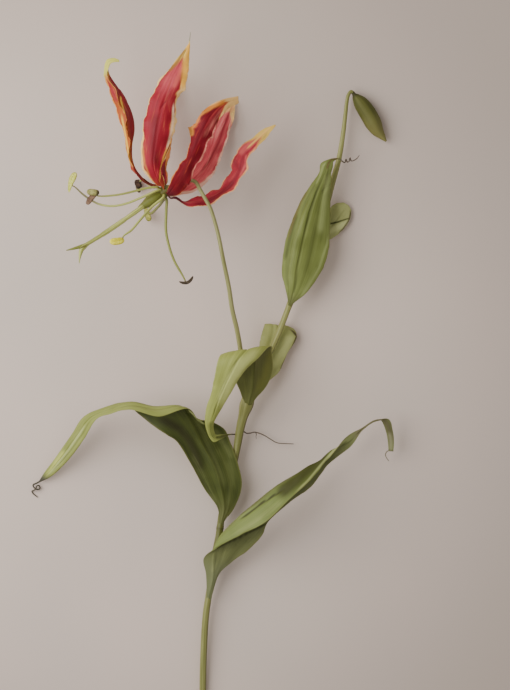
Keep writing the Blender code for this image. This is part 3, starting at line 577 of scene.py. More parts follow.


# Colours are eye values. A stroke holds its kind, reach in pixels, strength, span of the blade and
# line in the picture. A lobe holds its side, place, breadth and height in millimetres, a fold its
# place, depth in millimetres and breadth, and a station the rib, left and right margins.
# The pale colour is a painted highlight. Lit and dark strokes are mostly painted highlights and painted
# shade, and partly the tepals' own paler and darker marks.
crimson = dict(
    deep=(138, 10, 30), bright=(162, 24, 42), pale=(212, 84, 90),
    backDeep=(146, 24, 42), backBright=(190, 58, 72),
    border=(242, 190, 122), blend=(208, 108, 56), tip=(230, 174, 66), claw=(84, 26, 34),
    dark=(92, 4, 18), lit=(216, 94, 98), gold=(224, 140, 58), thread=(150, 146, 116),
    first=("dark", "lit"), last=("gold",),
)
tepalBase = dict(
    rows=220, columns=41, thickness=0.00055, tendril=0.00026, crisps=14.0, crisp=0.0005, scallop=0.00045,
    swell=0.0004, groove=0.0006, grooveWidth=0.06, paints=("dark", "lit", "gold"),
    clawTo=(0.03, 0.14), tipReach=0.14, shine=0.3,
)
tepals = {
    "tepal_1": dict(
        azimuth=0.0, waves=6.0, ruffle=0.0007, arch=0.05, seed=11, tipFrom=(0.8, 0.92), tipReach=0.03,
        clawTo=(0.1, 0.26),
        borderLeft=[(0, 0.0), (0.22, 0.05), (0.34, 0.08), (0.62, 0.08), (0.75, 0.12), (0.84, 0.3), (1, 0.6)],
        borderRight=[(0, 0.0), (0.4, 0.04), (0.75, 0.06), (0.85, 0.4), (1, 0.6)],
        light=[(0, 0.0), (1, 0.0)], lobes=[(-1, 0.6, 0.02, 0.4), (-1, 0.46, 0.02, 0.5)],
        colours=dict(
            deep=(150, 40, 30), bright=(180, 62, 36), border=(222, 146, 56), blend=(214, 146, 72),
            tip=(212, 206, 92), claw=(100, 38, 38), backDeep=(140, 24, 36), backBright=(176, 48, 52),
            lit=(250, 196, 70), gold=(182, 90, 22), dark=(160, 34, 46),
            first=("gold", "dark", "lit"), last=(),
        ),
        strokes=[
            ("gold", 4.4, 0.85, (0.28, 0.72), [(112, 88), (119, 104), (123, 120), (127, 138), (130, 160)]),
            ("gold", 2.4, 0.9, (0.6, 0.95), [(103, 66), (106, 76), (110, 85), (114, 94)]),
            ("gold", 1.8, 1.0, (0.0, 0.16), [(162, 189), (153, 185), (146, 181.5), (139, 175)]),
            ("lit", 1.2, 0.9, (0.14, 0.62), [
                (120, 108), (122, 118), (124, 128), (126.6, 142), (128.2, 153), (129.8, 163), (133, 171),
            ]),
            ("lit", 1.2, 0.5, (0.1, 0.42), [(129.4, 144), (129.6, 153), (130.8, 162), (134.4, 170)]),
            ("lit", 0.9, 1.0, (0.45, 0.8), [(120.4, 94), (121, 101), (123, 108), (125.5, 116)]),
            ("dark", 2.6, 0.7, (0.55, 0.85), [(107, 78), (110.5, 86), (114.5, 95), (117, 104)]),
            ("dark", 1.8, 0.5, (0.25, 0.8), [
                (114, 80), (124.5, 97), (130.5, 113), (132.6, 128), (131.8, 148),
            ]),
            ("dark", 1.6, 0.9, (0.6, 0.9), [(103, 74), (109, 85), (115, 96), (120, 106)]),
            ("dark", 1.1, 0.3, (0.3, 0.5), [(124.5, 128), (126.4, 142), (128.6, 158)]),
            ("ridge", 1.6, 0.5, (0.5, 0.85), [(113, 88), (118.5, 97), (120.5, 105), (128, 111)]),
            ("dip", 2.0, 0.5, (0.5, 0.8), [(118, 88), (123, 97), (126, 104)]),
        ],
        stations=[
            ((153, 185.6, 42.4), (152, 183.6, 41.4), (153.5, 186.8, 43.4)),
            ((136.4, 172, 42.5), (133.4, 170.5, 40.5), (134.8, 172, 44.8)),
            ((131.8, 160, 42.2), (128.2, 160.5, 39.4), (129.9, 160, 45.8)),
            ((131.4, 147, 42), (126.8, 148, 38.5), (129.2, 147.5, 46.5)),
            ((133, 130, 41.5), (123, 130.5, 37.5), (127.2, 130, 48)),
            ((130, 112, 41), (117.5, 114, 37), (124, 113.5, 48)),
            ((117.5, 89, 40), (109.5, 91, 37), (115, 90, 45)),
            ((108, 72.5, 40.5), (104.3, 75, 39), (107, 73, 42.5)),
            ((108.6, 62, 42.5), (106.6, 60, 41.8), (110.4, 64, 43)),
            ((114, 60, 43), (113.6, 57.9, 42.7), (114.4, 62.2, 43.2)),
            ((119.2, 60.9, 43), (119, 59.8, 43), (119.4, 62, 43)),
        ],
    ),
    "tepal_2": dict(
        azimuth=60.0, waves=7.0, ruffle=0.0008, arch=0.06, seed=23, tipFrom=(0.84, 0.95), tipReach=0.06,
        paints=("dark", "lit", "gold", "olive", "cream"),
        borderLeft=[
            (0, 0.16), (0.1, 0.24), (0.28, 0.26), (0.38, 0.12), (0.47, 0.04), (0.62, 0.05), (0.7, 0.14),
            (0.85, 0.18), (1, 0.3),
        ],
        borderRight=[
            (0, 0.2), (0.2, 0.14), (0.36, 0.1), (0.42, 0.26), (0.5, 0.2), (0.6, 0.14), (0.68, 0.34),
            (0.78, 0.3), (0.84, 0.5), (1, 0.6),
        ],
        light=[(0, 0.0), (0.45, 0.0), (0.6, 0.3), (0.76, 0.75), (1, 0.5)],
        lobes=[
            (1, 0.695, 0.018, 1.3), (1, 0.475, 0.022, 1.2), (1, 0.58, 0.03, -0.7), (1, 0.32, 0.02, 0.5),
            (-1, 0.74, 0.02, 0.5), (1, 0.41, 0.012, 0.6), (1, 0.64, 0.01, 0.4), (-1, 0.63, 0.012, 0.35),
            (-1, 0.5, 0.012, 0.3),
        ],
        colours=dict(
            deep=(144, 12, 32), bright=(172, 30, 48), border=(248, 204, 128), gold=(255, 186, 70),
            tip=(252, 218, 104), claw=(160, 70, 36), lit=(226, 98, 92), blend=(204, 108, 58),
            olive=(154, 108, 34), cream=(252, 212, 172), last=("gold", "olive", "cream"),
        ),
        strokes=[
            ("gold", 3.4, 0.95, (0.62, 1.0), [
                (182, 94), (183.4, 83), (184.6, 72), (186.6, 61), (188.6, 50), (190, 34),
            ]),
            ("cream", 1.6, 0.8, (0.2, 0.75), [
                (174.6, 98), (173.4, 108), (173.2, 118), (172.2, 127), (170.6, 135), (168, 145), (165, 155),
            ]),
            ("olive", 2.2, 0.85, (0.76, 1.0), [
                (166, 74), (171, 68.6), (175.6, 64), (179, 59), (182, 54.4), (185.6, 48.6), (188, 44),
            ]),
            ("lit", 2.4, 0.9, (0.6, 0.95), [(172, 92), (177, 80), (181, 69), (185, 58)]),
            ("dark", 1.4, 0.3, (0.6, 0.9), [(154, 98), (161, 80), (169, 69), (176, 60)]),
            ("gold", 1.0, 0.9, (0.0, 0.45), [
                (176, 133), (168.5, 145), (164, 156), (160.5, 170), (159, 188),
            ]),
            ("gold", 1.6, 0.5, (0.0, 0.3), [
                (142.6, 140), (143, 152), (144.4, 164), (149.5, 177), (158, 190),
            ]),
            ("lit", 3.0, 0.4, (0.45, 0.9), [(182, 66), (177, 80), (171, 94), (165, 112)]),
            ("dark", 1.0, 0.5, (0.45, 0.8), [(163, 86), (158, 100), (153, 116)]),
            ("lit", 4.5, 0.2, (0.3, 0.8), [(172, 88), (167, 104), (163, 120), (160, 136)]),
            ("dark", 0.9, 0.6, (0.45, 0.8), [(173, 82), (168.5, 93), (166, 101), (162, 106), (157, 114)]),
            ("dark", 6.5, 0.6, (0.1, 0.55), [(160, 104), (155, 122), (153, 144), (156, 174)]),
            ("dark", 1.6, 0.5, (0.0, 0.35), [(173, 146), (166, 163), (160, 186)]),
            ("dip", 1.2, 0.3, (0.45, 0.8), [(173, 82), (168.5, 93), (166, 101), (162, 106), (157, 114)]),
            ("ridge", 1.4, 0.5, (0.0, 0.45), [
                (176, 133), (168.5, 145), (163, 156), (158.5, 170), (157, 188),
            ]),
        ],
        tail=[(189.6, 40, 53), (190.1, 36, 53), (190.5, 32, 53)],
        stations=[
            ((160.5, 184, 49), (156, 184.5, 48.5), (165, 184, 48)),
            ((153.5, 165, 55), (141.8, 166, 52), (161, 169, 51)),
            ((155, 144, 57), (141.5, 144, 53), (170.5, 144, 53)),
            ((158.5, 122, 57.5), (143.7, 123, 54), (175.5, 121, 54)),
            ((164, 101, 57), (149.5, 101, 54), (177.5, 101, 53.5)),
            ((172, 80, 56), (160, 80, 53.5), (186.5, 82, 54)),
            ((181, 61, 54.5), (175.5, 61, 53), (189, 64, 53.4)),
            ((189.2, 44, 53), (188.4, 44, 53), (190, 44, 53)),
        ],
    ),
    "tepal_3": dict(
        azimuth=300.0, waves=6.0, ruffle=0.0010, arch=0.06, seed=31, tipFrom=(0.8, 0.95),
        borderLeft=[(0, 0.3), (1, 0.3)], borderRight=[(0, 0.2), (1, 0.3)], light=[(0, 0.0), (1, 0.2)],
        lobes=[],
        colours=dict(border=(222, 140, 74)),
        strokes=[("dark", 3.0, 0.6, (0.0, 0.4), [(168, 150), (165, 170), (163, 182)])],
        stations=[
            ((164, 183, 37.5), (167.5, 182.5, 37.5), (160, 183, 38)),
            ((161, 168, 33), (167, 168, 31), (153, 168, 33)),
            ((161, 148, 27), (171.3, 147, 25), (150, 149, 26)),
            ((162, 126, 20), (172.5, 127, 18.5), (151, 127, 19.5)),
            ((166, 104, 14), (174, 106, 12.5), (156, 104, 13)),
            ((172, 84, 9.5), (178, 86, 8), (166, 84, 8.5)),
            ((177, 70, 7), (177.8, 70, 7), (176.2, 70, 7)),
        ],
    ),
    "tepal_4": dict(
        azimuth=120.0, waves=7.0, ruffle=0.0009, arch=0.06, seed=47, tipFrom=(0.86, 0.97),
        borderLeft=[
            (0, 0.1), (0.2, 0.16), (0.4, 0.2), (0.5, 0.14), (0.6, 0.26), (0.66, 0.3), (0.8, 0.45), (1, 0.8),
        ],
        borderRight=[(0, 0.1), (0.2, 0.04), (0.3, 0.01), (0.86, 0.01), (0.95, 0.3), (1, 0.5)],
        light=[(0, 0.0), (0.5, 0.0), (0.66, 0.2), (0.85, 0.36), (1, 0.4)], shine=0.2, groove=0.0002,
        paints=("dark", "lit", "gold", "olive"),
        lobes=[
            (-1, 0.59, 0.018, 1.7), (-1, 0.67, 0.02, -0.5), (1, 0.3, 0.04, 0.6), (1, 0.52, 0.012, 0.3),
            (1, 0.635, 0.016, 1.7), (1, 0.58, 0.016, -0.6), (1, 0.42, 0.02, -0.8),
        ],
        colours=dict(
            # Deeper crimson than the other tepals: partly the tepal's own colour, partly painted shade
            deep=(102, 2, 18), bright=(128, 6, 26), border=(210, 126, 58), blend=(172, 62, 40),
            pale=(190, 58, 56), gold=(208, 126, 44), lit=(236, 136, 120), dark=(86, 2, 14),
            tip=(240, 190, 116), olive=(150, 96, 36), last=("gold", "olive"),
        ),
        strokes=[
            ("gold", 3.0, 1.1, (0.46, 0.68), [(187, 119), (189.5, 125), (191, 131), (191, 138)]),
            ("gold", 2.8, 0.9, (0.6, 1.0), [
                (193, 121), (200, 114), (207, 109.4), (214, 106), (222, 102.4), (230, 98.6),
            ]),
            (
                "lit", 1.1, 1.2, (0.2, 0.86),
                [
                    (219.4, 117.6), (217, 122), (215.9, 125.8), (214.6, 129.5), (213.3, 133.4),
                    (212.8, 136.8), (209.2, 139.6), (207, 143.3), (206, 147.8), (204.4, 152.4),
                    (202.4, 156.8), (200, 161.4), (197, 164.6), (195, 168), (193.1, 171.4), (192.2, 176.4),
                    (191, 181.4), (188, 185),
                ],
            ),
            ("olive", 2.4, 1.1, (0.5, 0.68), [(187.4, 117), (188.4, 124), (190, 131), (190.8, 138)]),
            ("olive", 0.8, 0.6, (0.76, 1.0), [(214, 101.4), (221, 98.6), (229, 96.9), (240, 95.6)]),
            ("dark", 6.0, 0.55, (0.0, 0.5), [(171, 203), (178, 190), (185, 174), (193, 158), (199, 146)]),
            ("dark", 0.9, 0.9, (0.8, 1.0), [(214, 107), (222, 102.4), (231, 99.4), (244, 97.4)]),
            ("lit", 3.2, 0.42, (0.55, 0.98), [
                (200, 144), (207, 132), (214, 121), (220, 113), (227, 106), (238, 101),
            ]),
            ("dip", 2.5, 0.2, (0.2, 0.8), [(188, 176), (198, 154), (206, 134), (214, 118)]),
        ],
        stations=[
            ((171.5, 190, 49), (167.5, 189, 48.5), (175, 196, 47)),
            ((180.5, 176, 57), (176.4, 169.5, 55.5), (187.5, 185.5, 54.5)),
            ((190, 159, 64), (185.4, 157, 61.5), (196.5, 166, 62)),
            ((194.2, 150, 67), (190, 146.5, 65), (203.4, 157.5, 64.6)),
            ((198, 141, 69), (189.4, 133.5, 67.4), (206.8, 146, 67)),
            ((206.4, 124, 71), (196, 120.5, 70), (214.4, 131, 69)),
            ((215.4, 111, 71), (207, 107.5, 70.5), (219.8, 119, 69.6)),
            ((226, 102.8, 69), (220.6, 100, 70), (228, 109, 68.4)),
            ((238.2, 99.6, 65), (238, 96, 65), (238.6, 103.4, 65)),
        ],
    ),
    "tepal_5": dict(
        azimuth=240.0, waves=7.0, ruffle=0.0009, arch=0.06, seed=59, tipFrom=(0.86, 0.98),
        clawTo=(0.0, 0.05),
        borderLeft=[(0, 0.5), (0.12, 0.5), (0.25, 0.3), (0.4, 0.18), (0.7, 0.15), (0.85, 0.3), (1, 0.6)],
        borderRight=[(0, 0.1), (0.5, 0.1), (1, 0.6)],
        light=[(0, 0.0), (1, 0.0)],
        lobes=[(-1, 0.42, 0.02, 0.5), (-1, 0.6, 0.02, 0.4)],
        colours=dict(
            backDeep=(186, 46, 62), backBright=(228, 98, 100), border=(242, 186, 160), blend=(222, 120, 108),
            lit=(246, 214, 196), gold=(238, 172, 112), dark=(146, 20, 42), tip=(240, 196, 120),
        ),
        strokes=[
            ("dark", 1.5, 0.7, (0.2, 0.95), [(234, 102), (224, 126), (219, 142), (211, 158), (195, 180)]),
            ("dark", 3.0, 0.5, (0.4, 0.8), [(230, 122), (227, 136), (222, 146), (213, 158)]),
            ("dark", 1.5, 0.4, (0.2, 0.8), [(220, 130), (208, 152), (196, 172)]),
            ("lit", 5.0, 0.22, (0.3, 0.95), [(206, 152), (214, 138), (222, 122), (229, 108)]),
            ("lit", 1.5, 1.1, (0.0, 0.5), [(172, 199), (181, 197.4), (190, 195), (200, 190.5), (212, 178)]),
            ("gold", 2.8, 0.9, (0.72, 1.0), [(223, 112), (227, 109), (231, 110), (235, 104)]),
            ("dip", 1.4, 0.35, (0.2, 0.95), [(231, 110), (224, 126), (219, 142), (211, 158), (198, 174)]),
        ],
        stations=[
            ((173, 193, 36), (180, 195.5, 35), (171, 190, 36.5)),
            ((187, 184, 29), (199, 189, 27), (178, 174, 29)),
            ((203, 168, 21), (214, 173, 18.5), (189.5, 157.5, 21)),
            ((213, 149, 14), (223, 152, 11.5), (198, 142.5, 14.5)),
            ((220, 131, 9), (230, 131, 7), (205.5, 126, 9.5)),
            ((226, 117, 6), (234.5, 115, 4.5), (215, 113.5, 6.5)),
            ((231, 107, 4), (235, 106, 3.4), (226, 106, 4.2)),
            ((234, 100, 2.5), (234.8, 100, 2.5), (233.2, 100, 2.5)),
        ],
    ),
    "tepal_6": dict(
        azimuth=180.0, waves=7.0, ruffle=0.0009, arch=0.05, seed=67, tipFrom=(0.82, 0.94), tipReach=0.1,
        borderLeft=[(0, 0.0), (0.3, 0.16), (0.6, 0.18), (0.8, 0.3), (1, 0.8)],
        borderRight=[(0, 0.0), (0.5, 0.08), (0.8, 0.12), (1, 0.8)],
        light=[(0, 0.0), (1, 0.0)], clawTo=(0.08, 0.22),
        lobes=[
            (-1, 0.62, 0.02, 1.0), (-1, 0.47, 0.02, 0.5), (1, 0.62, 0.02, 0.8), (1, 0.72, 0.02, 0.8),
            (-1, 0.74, 0.03, -0.8),
        ],
        colours=dict(
            backDeep=(142, 16, 36), backBright=(192, 50, 66), border=(236, 172, 116), blend=(210, 112, 80),
            lit=(212, 90, 88), claw=(62, 18, 34), gold=(238, 190, 100), tip=(226, 186, 88),
        ),
        strokes=[
            ("lit", 4.0, 0.8, (0.55, 0.95), [(237, 158), (243, 150), (250, 143), (262, 132)]),
            ("lit", 2.2, 0.7, (0.4, 0.75), [(246, 150), (246, 164), (238, 180)]),
            ("dark", 3.4, 0.45, (0.4, 0.75), [(224, 150), (233, 160), (239, 168), (248, 178)]),
            ("dark", 4.5, 0.65, (0.12, 0.55), [(184, 206), (200, 204), (216, 198), (230, 186), (240, 172)]),
            ("lit", 2.6, 0.4, (0.3, 0.6), [(226, 184), (234, 176), (240, 168)]),
            ("gold", 1.0, 1.0, (0.7, 1.0), [(244, 151), (254, 142), (265, 132), (274, 124)]),
            ("dark", 0.8, 0.8, (0.76, 1.0), [(254, 145), (262, 138), (269, 131.5), (276, 124)]),
            ("dip", 1.2, 0.6, (0.6, 1.0), [(248, 151), (258, 142), (268, 132)]),
        ],
        stations=[
            ((175, 197.8, 42.5), (174.6, 198.6, 43), (175.4, 197, 41.8)),
            ((183.5, 202.4, 42), (182.6, 204, 42.8), (184.4, 200.8, 41)),
            ((191, 203, 41.4), (190, 206.4, 43), (192, 198.6, 39)),
            ((208, 200, 40.5), (207, 205.5, 42.5), (206.5, 193.5, 37)),
            ((227, 188.5, 41), (231.5, 190.5, 44), (221, 185.5, 36.5)),
            ((238, 171, 41), (245, 172.5, 43.5), (231, 168.5, 36.5)),
            ((243, 154.5, 40), (249.5, 157, 42.5), (236, 152.5, 36)),
            ((255, 143, 39), (259, 146, 41), (249, 140, 36)),
            ((268, 131, 38), (270, 133, 39), (265, 128.5, 36.8)),
            ((275.5, 125, 38), (275.9, 125.6, 38), (275.1, 124.4, 38)),
        ],
    ),
}


def makeTepal(node, values):
    # Two narrow rows at the bloom's heart make the claw, and the stations go on from there
    look = {**tepalBase, **values}
    half = tangent(look["azimuth"]) * bloom["clawHalfWidth"]
    ribs = [bloomHeart + radial(look["azimuth"]) * reach for reach in bloom["clawReaches"]]
    stations = [(rib, rib - half, rib + half) for rib in ribs] + bladeStations(look["stations"])
    tailPath = None
    if "tail" in look:
        points = np.vstack((stations[-1][0], place(look["tail"])))
        tailPath = curveThrough(points, np.linspace(0.12, 1.0, 24))
    rings, marks = bladeRings(stations, look, tailPath, look["seed"] * 0.37)
    along, across = marks["along"], marks["across"]
    width = np.where(across < 0, table(look["borderLeft"], along), table(look["borderRight"], along))
    width = np.maximum(width * (1 + 0.5 * ripple(29 * along, 3 * np.sign(across), look["seed"] + 5)), 0.002)
    marks["border"] = ramp(np.abs(across), 1 - width * 1.5, 1 - width * 0.35) * ramp(width, 0.01, 0.05)
    marks["thread"] = ramp(along, 1.01, 1.05)
    marks["tip"] = ramp(along + look["tipReach"] * np.abs(across), *look["tipFrom"])
    marks["claw"] = 0.85 * (1 - ramp(along, *look["clawTo"]))
    # Painted highlight: the light table along the blade, strongest in its middle
    marks["light"] = table(look["light"], along) * (1 - 0.6 * np.abs(across))
    material = tepalMaterial(node + "Finish", {**crimson, **look["colours"], "shine": look["shine"]})
    closedSkin(node + "Blade", rings, marks, material, node)


for tepalNode, tepalValues in tepals.items():
    makeTepal(tepalNode, tepalValues)
print("six tepals shaped")

# Leaves: the dark back colours are partly the underside's own green and partly painted shade. Dark strokes
# are mostly painted shade and lit strokes painted highlights, and partly the leaves' own darker and paler
# marks.
olive = dict(
    topDeep=(128, 136, 62), topBright=(162, 168, 90), backDeep=(52, 58, 16), backBright=(84, 92, 36),
    vein=(108, 114, 50), creaseShade=(84, 88, 32), tendril=(96, 84, 70), base=(104, 106, 58),
    rim=(128, 126, 66), dark=(46, 44, 12), lit=(190, 190, 104), brown=(96, 80, 46),
    pale=(192, 196, 116), kinds=("dark", "lit", "brown", "pale"), veins=70.0,
    patches=70.0,
)
leafBase = dict(
    rows=230, columns=41, thickness=0.00055, tendril=0.0004, crisps=7.0, crisp=0.00035, scallop=0.0002,
    swell=0.0005, groove=0.0005, grooveWidth=0.05, tendrilFrom=(0.985, 1.03), baseTo=(0.02, 0.12),
    creaseShare=0.7,
    rimShare=0.5, paints=("dark", "lit", "brown", "pale"),
)
leaves = {
    "leaf_1": dict(
        waves=2.0, ruffle=0.0010, arch=0.06, seed=71, folds=[(-0.45, 0.4, 0.1), (0.5, 0.3, 0.12)],
        creaseShare=0.4,
        colours=dict(
            pale=(108, 114, 62), lit=(182, 188, 118), highlight=(216, 220, 108), tendril=(74, 70, 54),
            kinds=("dark", "lit", "brown", "pale", "highlight"),
        ),
        paints=("dark", "lit", "brown", "pale", "highlight"), tendril=0.00047,
        strokes=[
            ("dark", 6.5, 0.75, (0.08, 0.5), [
                (146, 416), (165, 421), (180, 429), (189, 440), (195, 452), (200, 466), (208, 482),
            ]),
            ("pale", 4.0, 0.55, (0.08, 0.42), [
                (186, 410), (197, 421), (204, 434), (209, 447), (215, 461), (221, 475), (228, 500),
            ]),
            ("pale", 4.0, 0.6, (0.12, 0.36), [(210, 425), (217, 433), (223, 442), (229, 452), (234, 464)]),
            ("pale", 4.5, 0.45, (0.0, 0.34), [(226, 450), (231, 466), (232, 480), (230, 496), (226, 514)]),
            # Painted highlight along the drooping tip
            ("highlight", 2.6, 0.6, (0.85, 1.0), [(68, 446), (58, 459), (50, 470), (45, 477), (40, 482)]),
            ("dark", 1.4, 0.6, (0.02, 0.4), [(160, 424), (184, 446), (198, 474), (214, 500), (222, 520)]),
            ("lit", 5.0, 0.3, (0.0, 0.3), [(186, 446), (196, 464), (206, 484), (213, 500), (220, 516)]),
            ("lit", 4.0, 0.2, (0.05, 0.35), [(212, 440), (226, 466), (230, 490)]),
            ("lit", 1.1, 0.9, (0.2, 0.5), [(186, 408), (192.5, 413.5), (198, 420), (207, 426)]),
            ("lit", 1.2, 0.22, (0.0, 0.4), [(197, 426), (209, 446), (217, 474), (224, 506)]),
            ("lit", 2.2, 0.8, (0.7, 1.0), [(90, 418), (69, 450), (56, 466), (40, 482)]),
            ("brown", 1.0, 0.5, (0.66, 1.0), [(98, 420), (83, 441), (66, 463), (46, 481)]),
            ("dip", 3.0, 0.4, (0.1, 0.42), [(180, 420), (189, 436), (196, 451), (204, 470)]),
            ("dip", 1.6, 0.4, (0.66, 1.0), [(92, 420), (72, 450), (60, 464), (42, 480)]),
        ],
        foot=(220.4, 528, 8.2), tailRows=150, tendrilFrom=(0.955, 0.995),
        tail=[
            (38, 482.4, 2.7), (35.4, 483.7, 2.7), (33.2, 484.9, 2.6), (33.7, 487, 2.3), (36, 489, 1.9),
            (38.8, 489.4, 1.6), (40.1, 487.4, 1.8), (38.6, 485.5, 2.4), (36.6, 486.3, 3.1),
            (35.8, 488.8, 2.8), (33.8, 490.3, 1.4), (32.0, 491.1, 0.8), (32.6, 493, 0.6), (35, 495.2, 0.6),
            (37.8, 497.3, 0.6),
        ],
        stations=[
            ((221.6, 521, 9.9), (224.7, 521, 9.8), (218.8, 521, 9.8)),
            ((224, 508, 11.4), (233, 510.5, 10.6), (217.4, 508, 11.2)),
            ((221, 488, 14), (241.5, 490, 11.6), (204.5, 489, 14)),
            ((213, 464, 17), (240, 470, 12), (191.5, 465, 18)),
            ((201, 442, 19), (230, 442, 11.5), (177, 442, 22)),
            ((193, 427, 22), (221.5, 427.5, 12.5), (167, 435, 24)),
            ((186, 414, 27), (199.5, 419, 20.5), (156, 428, 24.5)),
            ((177, 406, 31), (189, 408, 33), (144.6, 420, 24)),
            ((155, 405.5, 32), (159, 416.5, 40), (134.4, 411.6, 23)),
            ((133, 402, 30), (132, 411, 36), (124, 403.5, 22)),
            ((108, 410, 26), (111, 414.8, 30), (103, 406.4, 21)),
            ((90, 418.4, 20), (96.4, 419.8, 24), (83, 416.4, 17)),
            ((77, 436, 14), (84, 438.5, 17), (71.5, 434, 11.5)),
            ((60, 459, 8), (67, 461.5, 9.5), (54.5, 459.5, 6)),
            ((46.6, 475, 4), (50, 477.3, 4.2), (43.4, 474, 3.4)),
            ((40.4, 480.9, 2.8), (41.2, 481.7, 2.8), (39.6, 480.1, 2.8)),
        ],
    ),
    "leaf_2": dict(
        waves=2.0, ruffle=0.0008, arch=0.05, seed=83, folds=[(-0.5, 0.2, 0.1)], creaseShare=0.3,
        baseTo=(0.1, 0.19),
        tendril=0.00036, tendrilFrom=(0.99, 1.02),
        colours=dict(
            topDeep=(100, 112, 46), topBright=(132, 144, 76), backDeep=(96, 100, 54),
            backBright=(126, 130, 80),
            base=(116, 120, 80), pale=(172, 168, 130), dark=(66, 68, 18), lit=(170, 174, 108),
            tendril=(138, 128, 104), brown=(104, 98, 66),
        ),
        strokes=[
            ("dark", 0.9, 1.3, (0.2, 0.6), [
                (234, 523), (246, 515.5), (258, 506), (272, 497), (290, 485), (300, 478),
            ]),
            ("dark", 3.0, 0.4, (0.2, 0.6), [(244, 511), (262, 499), (278, 489), (294, 479)]),
            ("dark", 8.5, 0.95, (0.36, 0.85), [
                (270, 501), (284, 490), (297, 480), (309, 469), (321, 458), (336, 446),
            ]),
            ("dark", 4.6, 0.35, (0.1, 0.45), [(258, 524), (243, 537), (233, 550), (220, 572)]),
            ("dark", 8.0, 0.2, (0.1, 0.45), [(270, 520), (254, 540), (236, 560)]),
            ("dark", 1.3, 0.8, (0.1, 0.5), [(206, 553), (222, 545.5), (240, 537), (258, 528), (276, 519)]),
            ("brown", 5.0, 0.8, (0.74, 1.0), [
                (346, 444), (364, 428), (382, 417), (388, 425), (391, 436), (391, 456),
            ]),
            ("dark", 2.2, 0.6, (0.84, 1.0), [
                (379, 411), (386, 424), (389.4, 434), (390.4, 444), (390, 456),
            ]),
            ("lit", 0.9, 0.6, (0.86, 1.0), [(390, 420), (393.6, 432), (394.6, 446), (394.6, 456)]),
            ("dark", 1.0, 0.9, (0.95, 1.0), [(387, 449), (391, 450.3), (396, 451.5)]),
            ("lit", 1.6, 0.7, (0.4, 0.9), [
                (287, 499), (297, 491), (306.5, 482), (315, 472), (325, 460), (338, 446), (354, 432),
            ]),
            ("pale", 3.4, 0.55, (0.86, 1.0), [(388, 428), (390.5, 437), (391, 444), (391, 455), (391, 466)]),
            ("lit", 4.0, 0.18, (0.1, 0.5), [(243, 553), (255, 540), (266, 528)]),
            ("lit", 4.0, 0.3, (0.06, 0.3), [(208, 576), (216, 565), (222, 556), (228, 546)]),
            ("lit", 3.4, 0.35, (0.2, 0.5), [(226, 540), (248, 527), (272, 509), (290, 494)]),
            ("brown", 0.9, 0.6, (0.2, 0.8), [(212, 548), (226, 530), (246, 511), (272, 490), (312, 463)]),
            ("dip", 1.3, 0.6, (0.2, 0.56), [(234, 523), (246, 515.5), (258, 506), (272, 497), (290, 485)]),
            ("dip", 3.5, 0.6, (0.1, 0.45), [(254, 528), (243, 537), (233, 550), (222, 568)]),
            ("ridge", 2.4, 0.5, (0.42, 0.8), [(292, 484), (306, 470), (321, 454), (334, 442)]),
        ],
        foot=(208, 604, 6.6), tailRows=40,
        tail=[
            (388.9, 450.6, 9), (386.4, 452.2, 8.4), (385.4, 455, 7.8), (386.8, 458.2, 7.2),
            (389, 461.2, 6.8),
        ],
        stations=[
            ((209.5, 594, 8.5), (212.6, 594, 8.3), (206.5, 594, 8.3)),
            ((213, 578, 11), (219.4, 574.5, 10.8), (205.9, 574, 10.4)),
            ((213.6, 562, 14), (232.6, 562, 12.5), (203.9, 558, 13)),
            ((216, 541, 18), (248, 550.5, 14), (220, 545, 21.5)),
            ((235, 519.3, 21), (262, 535, 16), (244, 533, 27)),
            ((256, 502, 24), (268, 521, 17), (267, 521.5, 30)),
            ((280, 483, 24), (292, 500.5, 17), (290, 499.5, 29)),
            ((307, 467, 22), (312.4, 486.5, 17), (310, 480.5, 26)),
            ((319.6, 459.8, 21), (321.8, 474.4, 16.8), (319.6, 469, 24)),
            ((331, 449.9, 20), (330, 463.5, 16.5), (328, 458, 22)),
            ((340, 445.6, 19.5), (341.5, 454, 17.5), (336, 447.5, 23)),
            ((349, 441.4, 18.5), (351, 446.4, 18.5), (345.5, 437.8, 18)),
            ((362, 429.8, 17), (362.8, 430.8, 18.2), (361.2, 428.6, 15)),
            ((374, 421.4, 17), (374.3, 422.4, 18), (373.6, 420.2, 15.6)),
            ((384.6, 420.6, 15.8), (388.2, 419.4, 16.6), (381.2, 420, 14.4)),
            ((389.4, 432, 13.4), (392.8, 431, 13.8), (386.4, 432.4, 12.2)),
            ((391, 443, 11), (394, 443.2, 11.4), (388.1, 443.4, 10.2)),
            ((390.8, 451, 9.4), (393.4, 451.4, 9.4), (388.4, 450.6, 9.2)),
        ],
    ),
    "leaf_3": dict(
        waves=2.0, ruffle=0.0006, arch=0.05, seed=97, folds=[(0.45, 0.2, 0.12)], baseTo=(-0.02, 0.0),
        colours=dict(
            topDeep=(140, 146, 66), topBright=(170, 176, 92), backDeep=(90, 92, 42),
            backBright=(112, 114, 58),
            dark=(84, 88, 36), lit=(118, 118, 52), rim=(176, 176, 106),
        ),
        strokes=[
            ("lit", 5.5, 0.7, (0.02, 0.34), [(273, 342), (269, 360), (265, 376), (256, 398)]),
            ("lit", 0.9, 0.4, (0.02, 0.3), [(244, 368), (244.6, 380), (245.4, 398)]),
            ("pale", 6.5, 0.85, (0.36, 0.85), [
                (268, 346), (254, 353), (243, 363), (233, 378), (224, 396), (216, 416),
            ]),
            ("dark", 3.6, 0.6, (0.82, 0.97), [(212, 414), (210, 426), (211.5, 434), (218, 440)]),
            ("dark", 2.6, 0.8, (0.9, 1.0), [(213, 437.6), (220, 437), (232, 434)]),
            ("dark", 1.1, 0.55, (0.35, 0.85), [(247, 346), (232, 367), (222, 387), (215, 408), (210, 430)]),
